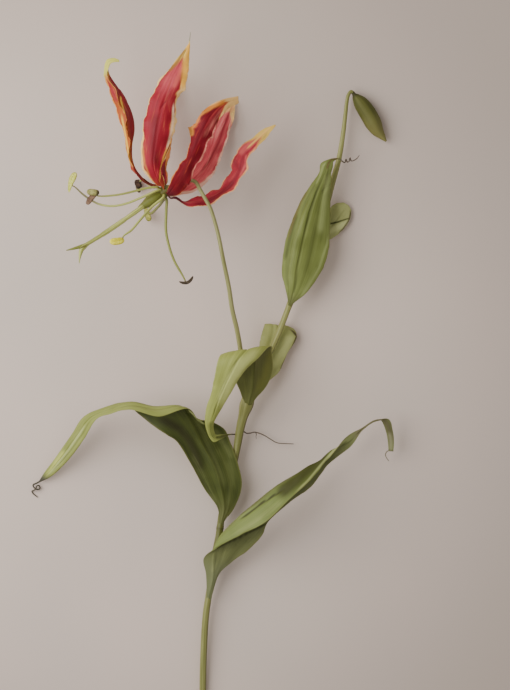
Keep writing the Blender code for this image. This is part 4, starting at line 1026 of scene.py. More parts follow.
            ("dark", 3.0, 0.25, (0.4, 0.85), [(226, 362), (216, 392), (208, 420)]),
            ("dip", 1.6, 0.35, (0.35, 0.8), [(247, 346), (232, 367), (222, 387), (213, 412)]),
        ],
        curls=[[(255.6, 432.4, 4.5), (256.4, 434.5, 4.6), (255.9, 436.6, 4.4), (256.6, 438.8, 4.2)]],
        foot=(248.2, 406.6, 11.6), tailRows=90,
        tail=[
            (230.4, 434.4, 11.4), (232.2, 434.3, 8), (235.5, 434.2, 5.6), (240, 432.6, 4.8),
            (243.6, 431.4, 4.7), (246.4, 433.2, 4.6), (250, 433.2, 4.5), (254, 432.2, 4.5),
            (258, 432.8, 4.4), (264, 435.2, 4.3), (269.5, 438.6, 4.2), (277, 442.7, 4), (285, 443.6, 3.9),
            (294, 443.9, 3.8),
        ],
        stations=[
            ((248.8, 404, 14.2), (252.6, 403.4, 14), (244.6, 402.6, 14)),
            ((250.2, 398, 15.4), (257.4, 397, 14), (242, 397, 15)),
            ((252, 391, 17), (264.6, 389.5, 14.4), (239.9, 391, 16.4)),
            ((254, 373, 22), (273, 371, 16), (234, 377, 21)),
            ((254, 358, 29), (271.5, 352, 21), (231, 362, 27)),
            ((248, 350, 34.5), (270, 345.5, 28), (222, 355, 33)),
            ((240, 357, 39), (258, 358.5, 35), (218, 361, 37)),
            ((231, 374, 38.5), (243, 372.5, 35.5), (214.5, 377, 36)),
            ((222, 393, 34.5), (231, 391.5, 32), (211, 393, 32)),
            ((214.5, 412, 29), (221, 410, 27.5), (205.5, 411, 27.5)),
            ((210.4, 428, 25), (214, 424.5, 24.5), (206, 428.5, 23.5)),
            ((214.4, 437.8, 22), (215.8, 434.6, 22.4), (213.4, 441.8, 21)),
            ((221, 436.6, 20), (221.2, 434.4, 20.3), (220.6, 439, 19.6)),
            ((227.6, 434.8, 15.5), (227.4, 434, 15.7), (227.8, 435.6, 15.3)),
        ],
    ),
    "leaf_4": dict(
        waves=2.0, ruffle=0.0004, arch=0.05, seed=101, folds=[(-0.4, 0.3, 0.1)], creaseShare=0.3,
        colours=dict(
            # Lighter than the other leaves: partly its own paler green, partly painted light against the
            # shade of the stem and leaf_3
            topDeep=(148, 150, 84), topBright=(172, 174, 106), backDeep=(138, 140, 76),
            backBright=(162, 164, 96),
            dark=(110, 110, 54), lit=(190, 192, 122), brown=(78, 66, 36),
        ),
        strokes=[
            ("brown", 1.3, 1.0, (0.2, 1.0), [
                (285, 326), (293, 331.5), (297, 336), (293, 346), (287, 357), (278, 374),
            ]),
            ("lit", 6.0, 0.8, (0.16, 0.7), [(294, 330), (286, 344), (278, 358), (269, 372)]),
            ("lit", 1.6, 0.4, (0.2, 0.8), [(268, 372), (278, 358), (286, 344), (289, 338)]),
            ("lit", 3.0, 0.6, (0.0, 0.4), [(282, 366), (276, 376), (268, 386)]),
            ("dip", 1.5, 0.3, (0.2, 0.8), [(272, 362), (280, 350), (285, 342)]),
        ],
        foot=(251, 394.5, 8.6), rows=140,
        stations=[
            ((252.5, 391, 7.9), (250.3, 390.6, 7.9), (254.7, 391.4, 7.9)),
            ((266, 370, 6.8), (258, 364, 6.8), (278, 373, 6.2)),
            ((273, 350, 7.2), (259.5, 344, 7), (287.5, 353, 6)),
            ((279, 334, 7), (262.5, 331, 7), (297, 336.5, 5.6)),
            ((278, 325, 5.2), (265, 324, 5.2), (292.5, 328, 4.4)),
            ((275.5, 333, 2.8), (266, 332, 2.8), (286, 336, 2.6)),
            ((274, 347, 1.6), (272.5, 347, 1.6), (275.5, 347, 1.6)),
        ],
    ),
    "leaf_5": dict(
        waves=3.0, ruffle=0.0006, arch=0.05, seed=109, folds=[(-0.5, 0.4, 0.07), (0.4, 0.3, 0.07)],
        colours=dict(
            topDeep=(104, 112, 48), topBright=(138, 148, 78), backDeep=(84, 90, 34),
            backBright=(112, 118, 54),
            dark=(70, 76, 22), lit=(160, 170, 102), brown=(112, 98, 52),
        ),
        strokes=[
            ("dark", 7.5, 0.42, (0.1, 0.68), [(304, 286), (309, 268), (313, 250), (317, 232), (320, 212)]),
            ("dark", 2.2, 0.3, (0.4, 0.6), [(318, 248), (321, 238), (323.6, 228)]),
            ("dark", 1.1, 0.9, (0.1, 1.0), [
                (292, 310), (298, 262), (304, 234), (309, 212), (316, 192), (323, 176), (328, 164),
            ]),
            ("dark", 2.0, 0.2, (0.5, 0.9), [(327, 214), (328, 196), (330, 176)]),
            ("dark", 3.0, 0.6, (0.2, 0.7), [(284, 268), (288, 246), (293, 226), (300, 206)]),
            ("lit", 1.8, 0.7, (0.0, 0.6), [(331, 224), (327, 244), (319, 268), (308, 287), (294, 306)]),
            ("lit", 4.4, 0.75, (0.4, 0.94), [
                (318, 242), (321.6, 222), (324, 202), (327, 182), (329.6, 166),
            ]),
            ("dark", 1.5, 0.6, (0.6, 0.9), [(320, 193), (324.6, 188.6), (328, 186), (331.4, 182)]),
            ("dark", 2.4, 0.5, (0.3, 0.62), [(322, 216), (322.4, 226), (321, 238), (318, 248)]),
            ("lit", 3.4, 0.3, (0.05, 0.8), [(291, 300), (293, 268), (299, 236), (306, 206)]),
            ("lit", 4.5, 0.45, (0.0, 0.36), [(322, 262), (314, 277), (306, 288), (298, 298)]),
            ("dark", 2.4, 0.4, (0.12, 0.42), [(289, 292), (286.6, 278), (286.6, 264), (288, 250)]),
            ("lit", 1.4, 0.7, (0.75, 1.0), [(314, 188), (320, 176), (323, 166), (329, 159)]),
            ("brown", 1.4, 0.7, (0.3, 0.9), [(286, 246), (293, 222), (301, 202), (312, 184)]),
            ("brown", 1.3, 0.9, (0.8, 1.0), [
                (326, 172), (328.4, 163.5), (331.4, 159.6), (336, 158.6), (344, 160),
            ]),
            ("dip", 1.4, 0.5, (0.4, 1.0), [(303, 238), (309, 212), (316, 192), (323, 176), (328, 162)]),
            ("dip", 1.8, 0.6, (0.7, 1.0), [(322, 196), (327, 184), (330, 170)]),
            ("ridge", 2.0, 0.4, (0.1, 0.8), [(289, 296), (291, 266), (297, 240), (304, 216), (312, 196)]),
            ("dip", 3.4, 0.5, (0.15, 0.6), [(307, 276), (313, 250), (319, 226)]),
        ],
        foot=(289.4, 306.5, 12.4), tailRows=50,
        tail=[
            (339.6, 159.2, 14.8), (342.4, 161.4, 14.4), (344.7, 162.6, 13.6), (346, 159.2, 14.6),
            (347.2, 162, 13.4), (348.7, 161.8, 13.2), (350, 157.8, 14.4), (351.5, 161, 13),
            (353.8, 160.4, 13), (357, 158.4, 13.3), (359.5, 155, 13.2),
        ],
        stations=[
            ((290.2, 304, 14), (288.2, 303.4, 14), (292.2, 304.6, 14)),
            ((293, 292, 15.6), (285.5, 289, 15.2), (305.4, 294, 14.6)),
            ((296, 270, 18), (281.5, 272, 15.5), (321, 272, 14)),
            ((300.5, 248, 19), (284, 250, 16), (328.5, 250, 14)),
            ((306, 225, 20), (289.5, 227, 16.5), (330.5, 227, 14)),
            ((313, 203, 20), (299, 204, 17), (329.8, 203, 14.5)),
            ((321, 183, 19), (311.5, 184, 17), (331.4, 182, 15)),
            ((325.4, 172, 17.8), (319.2, 172, 16.8), (331.6, 173, 15.4)),
            ((327.8, 164.4, 17.2), (321, 163, 16.6), (332.8, 166.6, 15.8)),
            ((331.2, 160, 16.6), (329, 159.2, 16.6), (333.4, 161.8, 16.2)),
            ((337, 158.6, 15), (336.8, 157.9, 15), (337.2, 159.3, 15)),
        ],
    ),
    "leaf_6": dict(
        waves=1.0, ruffle=0.0003, arch=0.05, seed=113, folds=[],
        creaseShare=0.15,
        colours=dict(
            # Lighter than the other leaves: partly its own paler green, partly painted light against the
            # shade of leaf_5
            topDeep=(160, 162, 96), topBright=(182, 184, 118), backDeep=(150, 152, 90),
            backBright=(170, 172, 108), dark=(78, 80, 30), brown=(92, 84, 50), lit=(204, 206, 138),
        ),
        strokes=[
            ("dark", 0.9, 1.1, (0.0, 1.0), [(318, 226.5), (328, 224.2), (338, 222), (344, 220), (354, 217)]),
            ("brown", 1.0, 0.8, (0.4, 1.0), [(349, 207), (350.6, 213), (349, 220), (343, 229), (336, 236)]),
            ("lit", 4.0, 0.9, (0.0, 1.0), [(316, 236), (326, 232), (336, 228), (346, 224), (354, 220)]),
            ("dip", 1.4, 0.5, (0.0, 1.0), [(328, 224.2), (338, 222), (344, 220), (349, 218.6)]),
        ],
        foot=(314.2, 245, 8.0), rows=110,
        stations=[
            ((315.4, 243.5, 7.1), (314, 242.5, 7.1), (316.8, 244.5, 7.1)),
            ((326, 232.5, 5.6), (321, 226, 5.4), (333, 238, 4.6)),
            ((336, 220.5, 4.8), (328, 211, 4.8), (344.5, 228, 3.8)),
            ((343.5, 211, 4.2), (335.5, 203.6, 4.4), (350.3, 218, 3.2)),
            ((348.6, 205.6, 3), (343.5, 202.4, 3.2), (351.3, 210.5, 2.4)),
        ],
    ),
}
curl = dict(rows=30, sides=12, radii=(0.00026, 0.00012))


def makeLeaf(node, values):
    # A row at the leaf's foot, a little narrower than the first station, starts the blade
    look = {**leafBase, **values}
    stations = bladeStations(look["stations"])
    foot = place(look["foot"])[0]
    rib, left, right = stations[0]
    stations = [(foot, foot + (left - rib) * 0.8, foot + (right - rib) * 0.8)] + stations
    tailPath = None
    if "tail" in look:
        points = np.vstack((stations[-1][0], place(look["tail"])))
        tailPath = curveThrough(points, np.linspace(0.03, 1.0, look["tailRows"]))
    rings, marks = bladeRings(stations, look, tailPath, look["seed"] * 0.29)
    along, across = marks["along"], marks["across"]
    # Painted shade along the midrib's crease and in the folds, fading out towards the tip
    creaseShade = bell(across, 0, 0.045) * look["creaseShare"]
    for where, depth, breadth in look["folds"]:
        creaseShade = creaseShade + bell(across, where, breadth * 0.6) * depth * 0.8
    marks["creaseShade"] = np.clip(creaseShade, 0, 1) * (1 - ramp(along, 0.85, 1.0))
    marks["base"] = 0.9 * (1 - ramp(along, *look["baseTo"]))
    marks["rim"] = look["rimShare"] * ramp(np.abs(across), 0.93, 1.0) * (1 - marks["base"])
    marks["tip"] = ramp(along, *look["tendrilFrom"])
    material = leafMaterial(node + "Finish", {**olive, **look["colours"]})
    closedSkin(node + "Blade", rings, marks, material, node)
    for number, spots in enumerate(look.get("curls", [])):
        path = curveThrough(place(spots), np.linspace(0.0, 1.0, curl["rows"]))
        rings = tubeRings(path, np.linspace(*curl["radii"], curl["rows"]), curl["sides"])
        marks = tubeMarks(rings, path, 0.1)
        marks["tip"] = np.ones(rings.shape[:2])
        closedSkin(f"{node}Curl{number}", rings, marks, material, None)


for leafNode, leafValues in leaves.items():
    makeLeaf(leafNode, leafValues)
print("six leaves shaped")


# Stems. Radii are in millimetres at shares of the length.
stem = dict(
    route=[
        (202.3, 715.9, 1.8), (203.6, 654, 4), (206, 614, 5.6), (209.6, 590, 6.4), (214, 560, 7),
        (219, 535, 7.5), (222.2, 512, 7.8), (230, 478, 8.4), (236, 453, 9), (241, 425, 9.8),
        (247.4, 402, 10.4), (258, 375, 10.8), (272, 347.8, 11.2), (281, 327, 11.6), (291, 301, 11.6),
        (304, 270, 10.6), (317.4, 235, 9.2), (327.4, 202.5, 8.4), (333.2, 180, 8), (338.8, 159.6, 7.6),
        (343.2, 133, 7), (345.7, 112, 6.6), (347, 101, 6.3), (348.6, 94.6, 6.1), (351.2, 91.6, 6),
        (353.6, 93.2, 5.6),
    ],
    radii=[
        (0.0, 1.85), (0.20, 1.85), (0.27, 1.95), (0.30, 1.9), (0.34, 1.85), (0.41, 1.95), (0.435, 2.25),
        (0.455, 2.45), (0.475, 2.3), (0.5, 2.0), (0.53, 1.6), (0.62, 1.6), (0.80, 1.5), (0.86, 1.6),
        (0.91, 1.35), (0.98, 1.0), (1.0, 0.95),
    ],
    # Swellings: place, reach and height
    joints=[(0.292, 0.0035, 0.2), (0.488, 0.017, 1.7), (0.655, 0.006, 0.2)],
    shaded=[
        (0, 0.35), (0.18, 0.4), (0.22, 0.8), (0.36, 0.85), (0.42, 0.5), (0.5, 0.2), (0.6, 0.1), (0.76, 0.0),
        (0.88, 0.0), (1, 0.15),
    ],
    sides=28,
    deep=(128, 128, 64), bright=(168, 166, 100), shade=(92, 94, 42), line=(72, 66, 30),
)


def shadedSideLine(marks, strength):
    # Painted shade: a dark line down the side that faces right in the picture, away from the light
    return strength * bell(marks["around"], 0.23, 0.07)


def makeStem():
    # A ribbed tube along the route, with a swelling at each joint, kept above the surface
    shares = np.concatenate((np.linspace(0.0, 0.93, 320), np.linspace(0.932, 1.0, 90)))
    path = curveThrough(place(stem["route"]), shares)
    radii = table(stem["radii"], shares) * millimetre
    for where, reach, height in stem["joints"]:
        radii = radii + height * millimetre * bell(shares, where, reach)
    rings = tubeRings(
        path, radii, stem["sides"], lambda a: 1 + 0.025 * np.cos(7 * a) + 0.012 * np.cos(11 * a + 1)
    )
    rings[:, :, 2] = np.maximum(rings[:, :, 2], 0.0)
    marks = tubeMarks(rings, path, 0.3)
    along = marks["along"]
    # The shade table's tone, darker still at the top end, and painted shade down the right side with the
    # node's own dark ring
    marks["shade"] = table(stem["shaded"], along) + 0.3 * ramp(along, 0.98, 0.995)
    marks["line"] = shadedSideLine(marks, 0.7) + 0.6 * bell(along, 0.2915, 0.0022)
    closedSkin("stemTube", rings, marks, stemMaterial("stemFinish", stem), "stem")


stalk = dict(
    route=[
        (246.0, 389.5, 11.3), (243.2, 370, 15), (240.5, 350, 19.5), (237, 330, 24), (232.3, 310, 28),
        (229, 288, 31.5), (223.7, 262, 35), (216.7, 228.5, 41), (208, 203, 46.5), (202.5, 194.6, 47),
        (198.7, 187, 47), (193.3, 180.5, 46.4), (186, 180.5, 45), (177, 184.4, 43.8),
    ],
    rows=260, sides=24,
    radii=[(0.0, 1.3), (0.3, 1.3), (0.7, 1.05), (0.93, 1.0), (0.96, 1.0)],
    end=[(-0.0042, 1.15), (-0.0024, 2.4), (-0.0008, 3.3), (0.0024, 3.2), (0.0034, 2.2)],
    deep=(132, 130, 76), bright=(172, 168, 112), shade=(94, 88, 34), line=(80, 74, 40),
)


def makeStalk():
    # The stalk's own curve, then the receptacle as a swelling on the bloom's axis
    coarseShares = np.linspace(0.0, 1.0, 26)
    coarse = curveThrough(place(stalk["route"]), coarseShares)
    reaches = np.array(stalk["end"])
    coarse = np.vstack((coarse, bloomHeart + bloom["axis"] * reaches[:, :1]))
    sizes = np.append(table(stalk["radii"], coarseShares) * millimetre, reaches[:, 1] * millimetre)
    shares = np.linspace(0.0, 1.0, stalk["rows"])
    path = curveThrough(coarse, shares)
    radii = np.interp(shares, knotsAlong(coarse), sizes)
    rings = tubeRings(path, radii, stalk["sides"], lambda a: 1 + 0.03 * np.cos(5 * a))
    marks = tubeMarks(rings, path, 0.7)
    marks["shade"] = 0.4 * (1 - ramp(marks["along"], 0.0, 0.25)) + ramp(marks["along"], 0.93, 0.99)
    # Painted shade down the right side, fading out before the receptacle
    marks["line"] = shadedSideLine(marks, 0.7) * (1 - ramp(marks["along"], 0.9, 0.96))
    closedSkin("stalkTube", rings, marks, stemMaterial("stalkFinish", stalk), "flower_stalk")


makeStem()
makeStalk()
print("stem and flower stalk shaped")


# Stamens. Radii and widths are in millimetres, and an anther is given by its two ends.
filament = dict(
    radius=0.00058, straight=0.0011, gap=0.0004, seat=0.0021, rows=150, sides=16,
    taper=[(0, 1.15), (0.3, 1.1), (0.85, 0.95), (1, 0.55)],
    deep=(160, 164, 74), bright=(204, 206, 120), shade=(118, 121, 58), line=(98, 84, 62), roughness=0.4,
)
anther = dict(rows=90, sides=40, grain=0.00004)
stamens = {
    "1": dict(
        azimuth=60.0, radius=1.35, bow=0.0008, hold=0.3, filamentShade=0.0,
        wide=[(-1, 2.2), (-0.2, 1.9), (0.4, 1.2), (1, 0.9)], dry=(0.6, 0.75),
        pollen=dict(deep=(216, 216, 84), bright=(242, 240, 136), shade=(178, 172, 70)),
        route=[
            (144.3, 196.3, 48.5), (126, 203.6, 49), (112.8, 206, 48.5), (100.3, 204.5, 47.5),
            (91.5, 200.5, 46.5), (82, 193.6, 46),
        ],
        anther=((76, 172.5, 46), (69, 192.5, 46)),
    ),
    "2": dict(
        azimuth=30.0, radius=1.55, bow=0.0006, hold=-0.4, filamentShade=0.0, wide=[(-1, 1.5), (0, 1.7), (1, 1.7)],
        dry=(0.97, 1.0),
        pollen=dict(deep=(104, 76, 58), bright=(142, 112, 88), shade=(84, 58, 44)),
        lobe=((86.8, 191.6, 65), (99.2, 193, 66.4)), lobeWide=1.75,
        lobePollen=dict(deep=(138, 132, 72), bright=(176, 170, 104), shade=(84, 76, 44)),
        route=[
            (157, 187.3, 46.6), (148, 187.9, 49), (136.3, 190.7, 52), (122.3, 194, 56), (111.3, 195.6, 59),
        ],
        anther=((98.5, 190.5, 65), (87, 204.5, 62)),
    ),
    "3": dict(
        azimuth=300.0, radius=1.75, bow=0.0006, hold=0.0, filamentShade=0.4, wide=[(-1, 1.9), (1, 1.9)],
        dry=(0.97, 1.0),
        lobe=((136.8, 185, 3), (139.6, 192.6, 4)), lobeWide=1.15,
        lobePollen=dict(deep=(104, 88, 58), bright=(134, 118, 82), shade=(74, 58, 40)),
        pollen=dict(deep=(52, 34, 24), bright=(82, 58, 42), shade=(44, 30, 22)),
        route=[(157, 186.8, 31), (150, 185.5, 17)],
        anther=((137.2, 180, 0.4), (140.2, 187, 6.7)),
    ),
    "4": dict(
        azimuth=120.0, radius=1.5, bow=0.0006, hold=0.9, filamentShade=0.0, wide=[(-1, 2.1), (1, 2.1)],
        dry=(0.97, 1.0), stout=1.15,
        pollen=dict(deep=(224, 208, 40), bright=(244, 232, 80), shade=(206, 136, 52)), face=0.6,
        route=[(151.7, 207, 50), (140.7, 219.3, 56), (131.4, 230.2, 60)],
        anther=((109.6, 241.2, 66), (124, 239.6, 64)), straight=0.0004,
    ),
    "5": dict(
        azimuth=240.0, radius=1.25, bow=0.0003, hold=0.0, filamentShade=0.9,
        wide=[(-1, 1.5), (0, 1.7), (0.5, 1.9), (1, 2.0)],
        dry=(0.97, 1.0), stout=1.35,
        pollen=dict(deep=(168, 166, 76), bright=(196, 192, 104), shade=(120, 118, 48)),
        route=[(161.6, 202.6, 31), (156, 209, 19), (151.6, 213.2, 11)],
        anther=((145.6, 207.6, 4), (149.6, 221, 6)), straight=0.0004,
    ),
    "6": dict(
        azimuth=180.0, radius=1.1, bow=0.0022, hold=-0.2, filamentShade=0.6, wide=[(-1, 0.8), (0, 0.95), (1, 0.9)],
        dry=(0.97, 1.0),
        stout=1.2,
        pollen=dict(deep=(66, 54, 42), bright=(92, 78, 60), shade=(56, 46, 36)),
        route=[(166.3, 209, 43), (166, 231, 43.5), (168.5, 244, 43.5), (173.7, 259.6, 43)],
        anther=((179, 281.5, 42), (193, 276, 42)),
    ),
}


def makeFilament(number, look, ends):
    # From the receptacle to the anther's back, which it meets squarely
    middle = ends.mean(axis=0)
    route = place(look["route"])
    heart = bloomHeart + bloom["axis"] * filament["seat"]
    out = radial(look["azimuth"])
    root = heart + out * (bloom["radius"] - 0.0003)
    bend = heart + out * (bloom["radius"] + 4 * filament["gap"])
    lie = unit(ends[1] - ends[0])
    held = middle + (ends[1] - ends[0]) / 2 * look["hold"]
    arrive = unit(route[-1] - held)
    arrive = unit(arrive - lie * (arrive @ lie) * 0.95)
    sag = look["bow"] * (1 - look["hold"] ** 2)
    seat = held + arrive * (look["radius"] * millimetre * 0.8 - sag)
    straight = look.get("straight", filament["straight"])
    points = np.vstack((root, bend, route, seat + arrive * straight, seat))
    shares = np.linspace(0.0, 1.0, filament["rows"])
    path = curveThrough(points, shares)
    radii = filament["radius"] * look.get("stout", 1.0) * table(filament["taper"], shares)
    rings = tubeRings(path, radii, filament["sides"])
    marks = tubeMarks(rings, path, 0.11 * int(number))
    along = marks["along"]
    # Painted shade: an even share for each filament, and along its underside; also darker at the root
    under = 0.6 * ramp(np.cos(fullTurn * (marks["around"] - 0.38)), 0.4, 1.0)
    marks["shade"] = np.clip(look["filamentShade"] + 0.6 * (1 - ramp(along, 0.0, 0.12)) + under, 0, 1)
    marks["line"] = 0.8 * ramp(along, *look["dry"])
    node = "filament_" + number
    closedSkin(node + "Tube", rings, marks, stemMaterial(node + "Finish", filament), node)
    return arrive


def bluntEnds(shares, power):
    # The half width of a lobe at shares from -1 to 1: nearly even, and round at both ends
    return np.maximum(1 - 0.998 * np.abs(shares) ** power, 0.0) ** 0.5


def makeStamen(number, look):
    # The anther is two long lobes side by side, blunt at both ends, bowed away from the filament
    ends = place(look["anther"])
    arrive = makeFilament(number, look, ends)
    rows, sides = anther["rows"], anther["sides"]
    shares = np.sin(np.linspace(-math.pi / 2, math.pi / 2, rows))
    spine = ends.mean(axis=0) + shares[:, None] / 2 * (ends[1] - ends[0])
    spine = spine - (1 - shares**2)[:, None] * arrive * look["bow"]
    sizes = table(look["wide"], shares) * millimetre * bluntEnds(shares, 3.2)
    rings = tubeRings(spine, sizes, sides, lambda a: 0.9 - 0.12 * np.cos(2 * a) - 0.1 * np.cos(4 * a))
    grain = ripple(60 * np.arange(rows)[:, None] / 9, np.arange(sides)[None, :] * 2.0, int(number))
    rings = rings + grain[:, :, None] * anther["grain"] * unit(rings - spine[:, None])
    rings[:, :, 2] = np.maximum(rings[:, :, 2], 0.0)
    marks = tubeMarks(rings, spine, 0.2 * int(number))
    # Painted shade round one side of the anther, centred at the share round it that face gives
    marks["shade"] = ramp(np.cos(fullTurn * (marks["around"] - look.get("face", 0.3))), 0.1, 0.7) * 0.85
    node = "anther_" + number
    closedSkin(node + "Lobes", rings, marks, antherMaterial(node + "Finish", look["pollen"]), node)
    if "lobe" in look:
        # A second lobe that has swung out from the first
        ends = place(look["lobe"])
        path = ends.mean(axis=0) + shares[:, None] / 2 * (ends[1] - ends[0])
        sizes = look["lobeWide"] * millimetre * bluntEnds(shares, 3.6)
        rings = tubeRings(path, sizes, sides, lambda a: 0.95 - 0.06 * np.cos(2 * a))
        marks = tubeMarks(rings, path, 0.35 * int(number))
        marks["shade"] = ramp(marks["along"], 0.72, 0.9)
        material = antherMaterial(node + "SwungFinish", look["lobePollen"])
        closedSkin(node + "Swung", rings, marks, material, None)


for stamenNumber, stamenLook in stamens.items():
    makeStamen(stamenNumber, stamenLook)
print("six stamens shaped")


# Pistil and bud
pistil = dict(
    ovary=[
        (0.0030, 1.9), (0.0046, 2.6), (0.0062, 3.15), (0.0080, 3.35), (0.0110, 3.05), (0.0138, 2.1),
        (0.0165, 1.35),
    ],
    style=[(143, 206.2, 43.5), (126, 218.6, 45), (111, 229, 47), (100, 236.2, 48.5), (85.7, 245, 50)],
    styleRadii=(1.3, 1.25, 1.45, 1.15, 1.0), rows=260, sides=36, armRows=50, armSides=14,
    armShade=(0.75, 0.0, 0.0),
    arms=[
        [(88, 243.6, 49.8), (79, 247, 50.5), (72, 249, 51), (66.2, 250.4, 51)],
        [(88, 243.6, 49.8), (82, 249, 50.5), (80, 256, 51), (79.2, 263.3, 51.5)],
        [(88, 243.6, 49.8), (83, 246.4, 53), (80.5, 248, 57), (79, 249, 60)],
    ],
    armWide=[
        [(0, 0.8), (0.3, 0.95), (0.6, 0.8), (1, 0.25)],
        [(0, 1.0), (0.25, 1.5), (0.5, 1.15), (0.85, 0.4), (1, 0.2)],
        [(0, 0.8), (1, 0.2)],
    ],
    deep=(146, 148, 66), bright=(198, 200, 116), shade=(104, 108, 36), line=(104, 106, 44), roughness=0.5,
)


def makePistil():
    # Three-lobed ovary on the axis, running on into the style and its three arms
    ovary = np.array(pistil["ovary"])
    points = np.vstack((bloomHeart + bloom["axis"] * ovary[:, :1], place(pistil["style"])))
    sizes = np.concatenate((ovary[:, 1], pistil["styleRadii"])) * millimetre
    shares = np.linspace(0.0, 1.0, pistil["rows"])
    path = curveThrough(points, shares)
    radii = np.interp(shares, knotsAlong(points), sizes)
    radii = radii * (1 + 0.07 * ramp(shares, 0.3, 0.4) * ripple(34 * shares, 0 * shares, 3))
    lobed = 0.07 * (1 - ramp(shares, 0.18, 0.3))[:, None]
    sides = pistil["sides"]
    rings = tubeRings(path, radii, sides)
    angles = np.arange(sides)[None, :] * fullTurn / sides
    swell = 1 + lobed * np.cos(3 * angles) - 0.35 * lobed * np.cos(6 * angles)
    rings = path[:, None] + (rings - path[:, None]) * swell[:, :, None]
    material = stemMaterial("pistilFinish", pistil)
    marks = tubeMarks(rings, path, 0.5)
    # Darker olive over the ovary, and painted shade in a dark line down one side of the style
    marks["shade"] = 0.9 * (1 - ramp(marks["along"], 0.2, 0.34))
    marks["line"] = 0.6 * bell(marks["around"], 0.2, 0.05) * ramp(marks["along"], 0.25, 0.4)
    closedSkin("pistilBody", rings, marks, material, "pistil")
    for number, arm in enumerate(pistil["arms"]):
        shares = np.linspace(0.0, 1.0, pistil["armRows"])
        path = curveThrough(place(arm), shares)
        rings = tubeRings(path, table(pistil["armWide"][number], shares) * millimetre, pistil["armSides"])
        marks = tubeMarks(rings, path, 0.6 + number)
        marks["shade"] = np.full(rings.shape[:2], pistil["armShade"][number])
        marks["line"] = np.zeros(rings.shape[:2])
        closedSkin(f"stigmaArm{number}", rings, marks, material, None)


bud = dict(
    rows=120, sides=60,
    route=[
        (352.6, 92, 5.9), (354.3, 94.7, 5.5), (361.6, 104.2, 4.7), (367.9, 113.5, 4.4), (373.4, 123.3, 4.4),
        (377.6, 130.8, 4.3), (382.3, 136.5, 4.2), (386.2, 141.4, 4.1),
    ],
    radii=[
        (0.0, 0.9), (0.045, 1.15), (0.1, 2.3), (0.2, 3.9), (0.36, 4.7), (0.52, 4.85), (0.64, 4.7),
        (0.76, 3.7), (0.885, 2.1), (1.0, 0.5),
    ],
    deep=(72, 74, 24), bright=(98, 98, 44), shade=(58, 54, 24), line=(140, 132, 76), roughness=0.65,
)


def makeBud():
    # Closed tepals: six shallow folds round a spindle, flat where it lies on the surface
    shares = np.sin(np.linspace(0, math.pi / 2, bud["rows"])) * 0.5 + np.linspace(0, 0.5, bud["rows"])
    path = curveThrough(place(bud["route"]), shares)
    stops = np.array(bud["radii"])
    radii = smoothCurve(np.column_stack((stops[:, 1], stops[:, 1])), stops[:, 0], shares)[:, 0] * millimetre
    rings = tubeRings(
        path, radii, bud["sides"], lambda a: 0.99 + 0.01 * np.cos(6 * a) + 0.008 * np.cos(3 * a + 0.7)
    )
    rings[:, :, 2] = np.maximum(rings[:, :, 2], 0.0)
    marks = tubeMarks(rings, path, 0.9)
    groove = ramp(-np.cos(12 * math.pi * marks["around"]), 0.75, 1.0)
    # Painted shade in the six grooves, and darker at the stalk end
    marks["shade"] = np.clip(0.3 * groove + 0.9 * (1 - ramp(marks["along"], 0.04, 0.12)), 0, 1)
    marks["line"] = 0.75 * ramp(marks["along"], 0.35, 1.0)
    closedSkin("budBody", rings, marks, stemMaterial("budFinish", bud), "bud")


makePistil()
makeBud()
print("pistil and bud shaped")

# Surface, light and camera. A light has its energy, size, spot and target.
setting = dict(
    # The far colour is painted shade, so that the middle reads as a pool of light
    floorWarm=(222, 202, 188), floorCool=(214, 197, 184), floorPaintedFalloff=(194, 177, 164), floorSize=8.0,
    floorClouds=7.0, floorMiddle=(-0.05, 0.0, 0.0), floorFade=(0.13, 0.28),
    sky=0.42, skyColour=(1.0, 0.985, 0.97, 1.0), sensor=36.0,
    lights=dict(
        window=(6.4, (0.7, 0.7), (-0.46, 0.16, 0.5), (-0.05, 0.04, 0.0)),
        reflector=(0.55, (1.2, 1.2), (0.3, -0.9, 1.3), (0.0, 0.0, 0.0)),
    ),
)


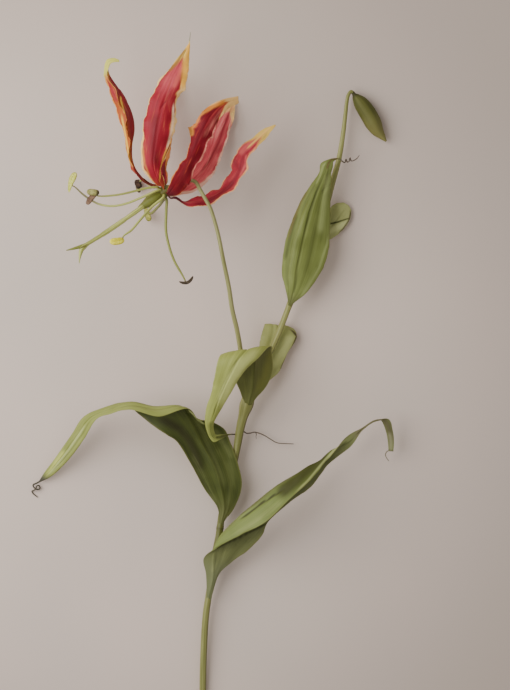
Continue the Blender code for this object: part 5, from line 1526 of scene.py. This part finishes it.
def makeFloor():
    # A square sheet, soft clouds in its colour and a darker tone far from the middle: painted shade round a
    # painted pool of light
    half = setting["floorSize"] / 2
    mesh = bpy.data.meshes.new("surface")
    corners = [(-half, -half, 0), (half, -half, 0), (half, half, 0), (-half, half, 0)]
    mesh.from_pydata(corners, [], [(0, 1, 2, 3)])
    material, tree, shader = startMaterial("surfaceFinish", 0.9)
    clouds = mottle(tree, setting["floorClouds"])
    body = mixColours(tree, clouds, setting["floorWarm"], setting["floorCool"])
    coordinate = tree.nodes.new("ShaderNodeTexCoord")
    away = tree.nodes.new("ShaderNodeVectorMath")
    away.operation = "DISTANCE"
    away.inputs[1].default_value = setting["floorMiddle"]
    tree.links.new(coordinate.outputs["Object"], away.inputs[0])
    paintedFalloff = spread(tree, away.outputs["Value"], *setting["floorFade"])
    join(tree, mixColours(tree, paintedFalloff, body, setting["floorPaintedFalloff"]), shader.inputs["Base Color"])
    mesh.materials.append(material)
    floor = bpy.data.objects.new("surface", mesh)
    bpy.context.scene.collection.objects.link(floor)


def addLight(name, energy, size, spot, target):
    lamp = bpy.data.lights.new(name, "AREA")
    lamp.energy = energy
    lamp.shape = "RECTANGLE"
    lamp.size, lamp.size_y = size
    light = bpy.data.objects.new(name, lamp)
    light.location = spot
    away = np.array(spot) - np.array(target)
    light.rotation_mode = "QUATERNION"
    light.rotation_quaternion = Vector(away).to_track_quat("Z", "Y")
    bpy.context.scene.collection.objects.link(light)


def makeCamera():
    # The photograph's frame: a long lens straight above, so that the picture's plane is the surface
    lens = bpy.data.cameras.new("overhead")
    lens.sensor_width = setting["sensor"]
    distance = picture["eyeHeight"] - picture["readHeight"]
    lens.lens = setting["sensor"] * distance / (picture["pixelsDown"] * picture["pixel"])
    camera = bpy.data.objects.new("overhead", lens)
    camera.location = (middleAcross, middleUp, picture["eyeHeight"])
    bpy.context.scene.collection.objects.link(camera)
    bpy.context.scene.camera = camera


def makeSky():
    world = bpy.data.worlds.new("studio")
    world.use_nodes = True
    backdrop = world.node_tree.nodes["Background"]
    backdrop.inputs[0].default_value = setting["skyColour"]
    backdrop.inputs[1].default_value = setting["sky"]
    bpy.context.scene.world = world


makeFloor()
makeCamera()
makeSky()
for lightName, lightValues in setting["lights"].items():
    addLight(lightName, *lightValues)
print("surface, light and camera set")
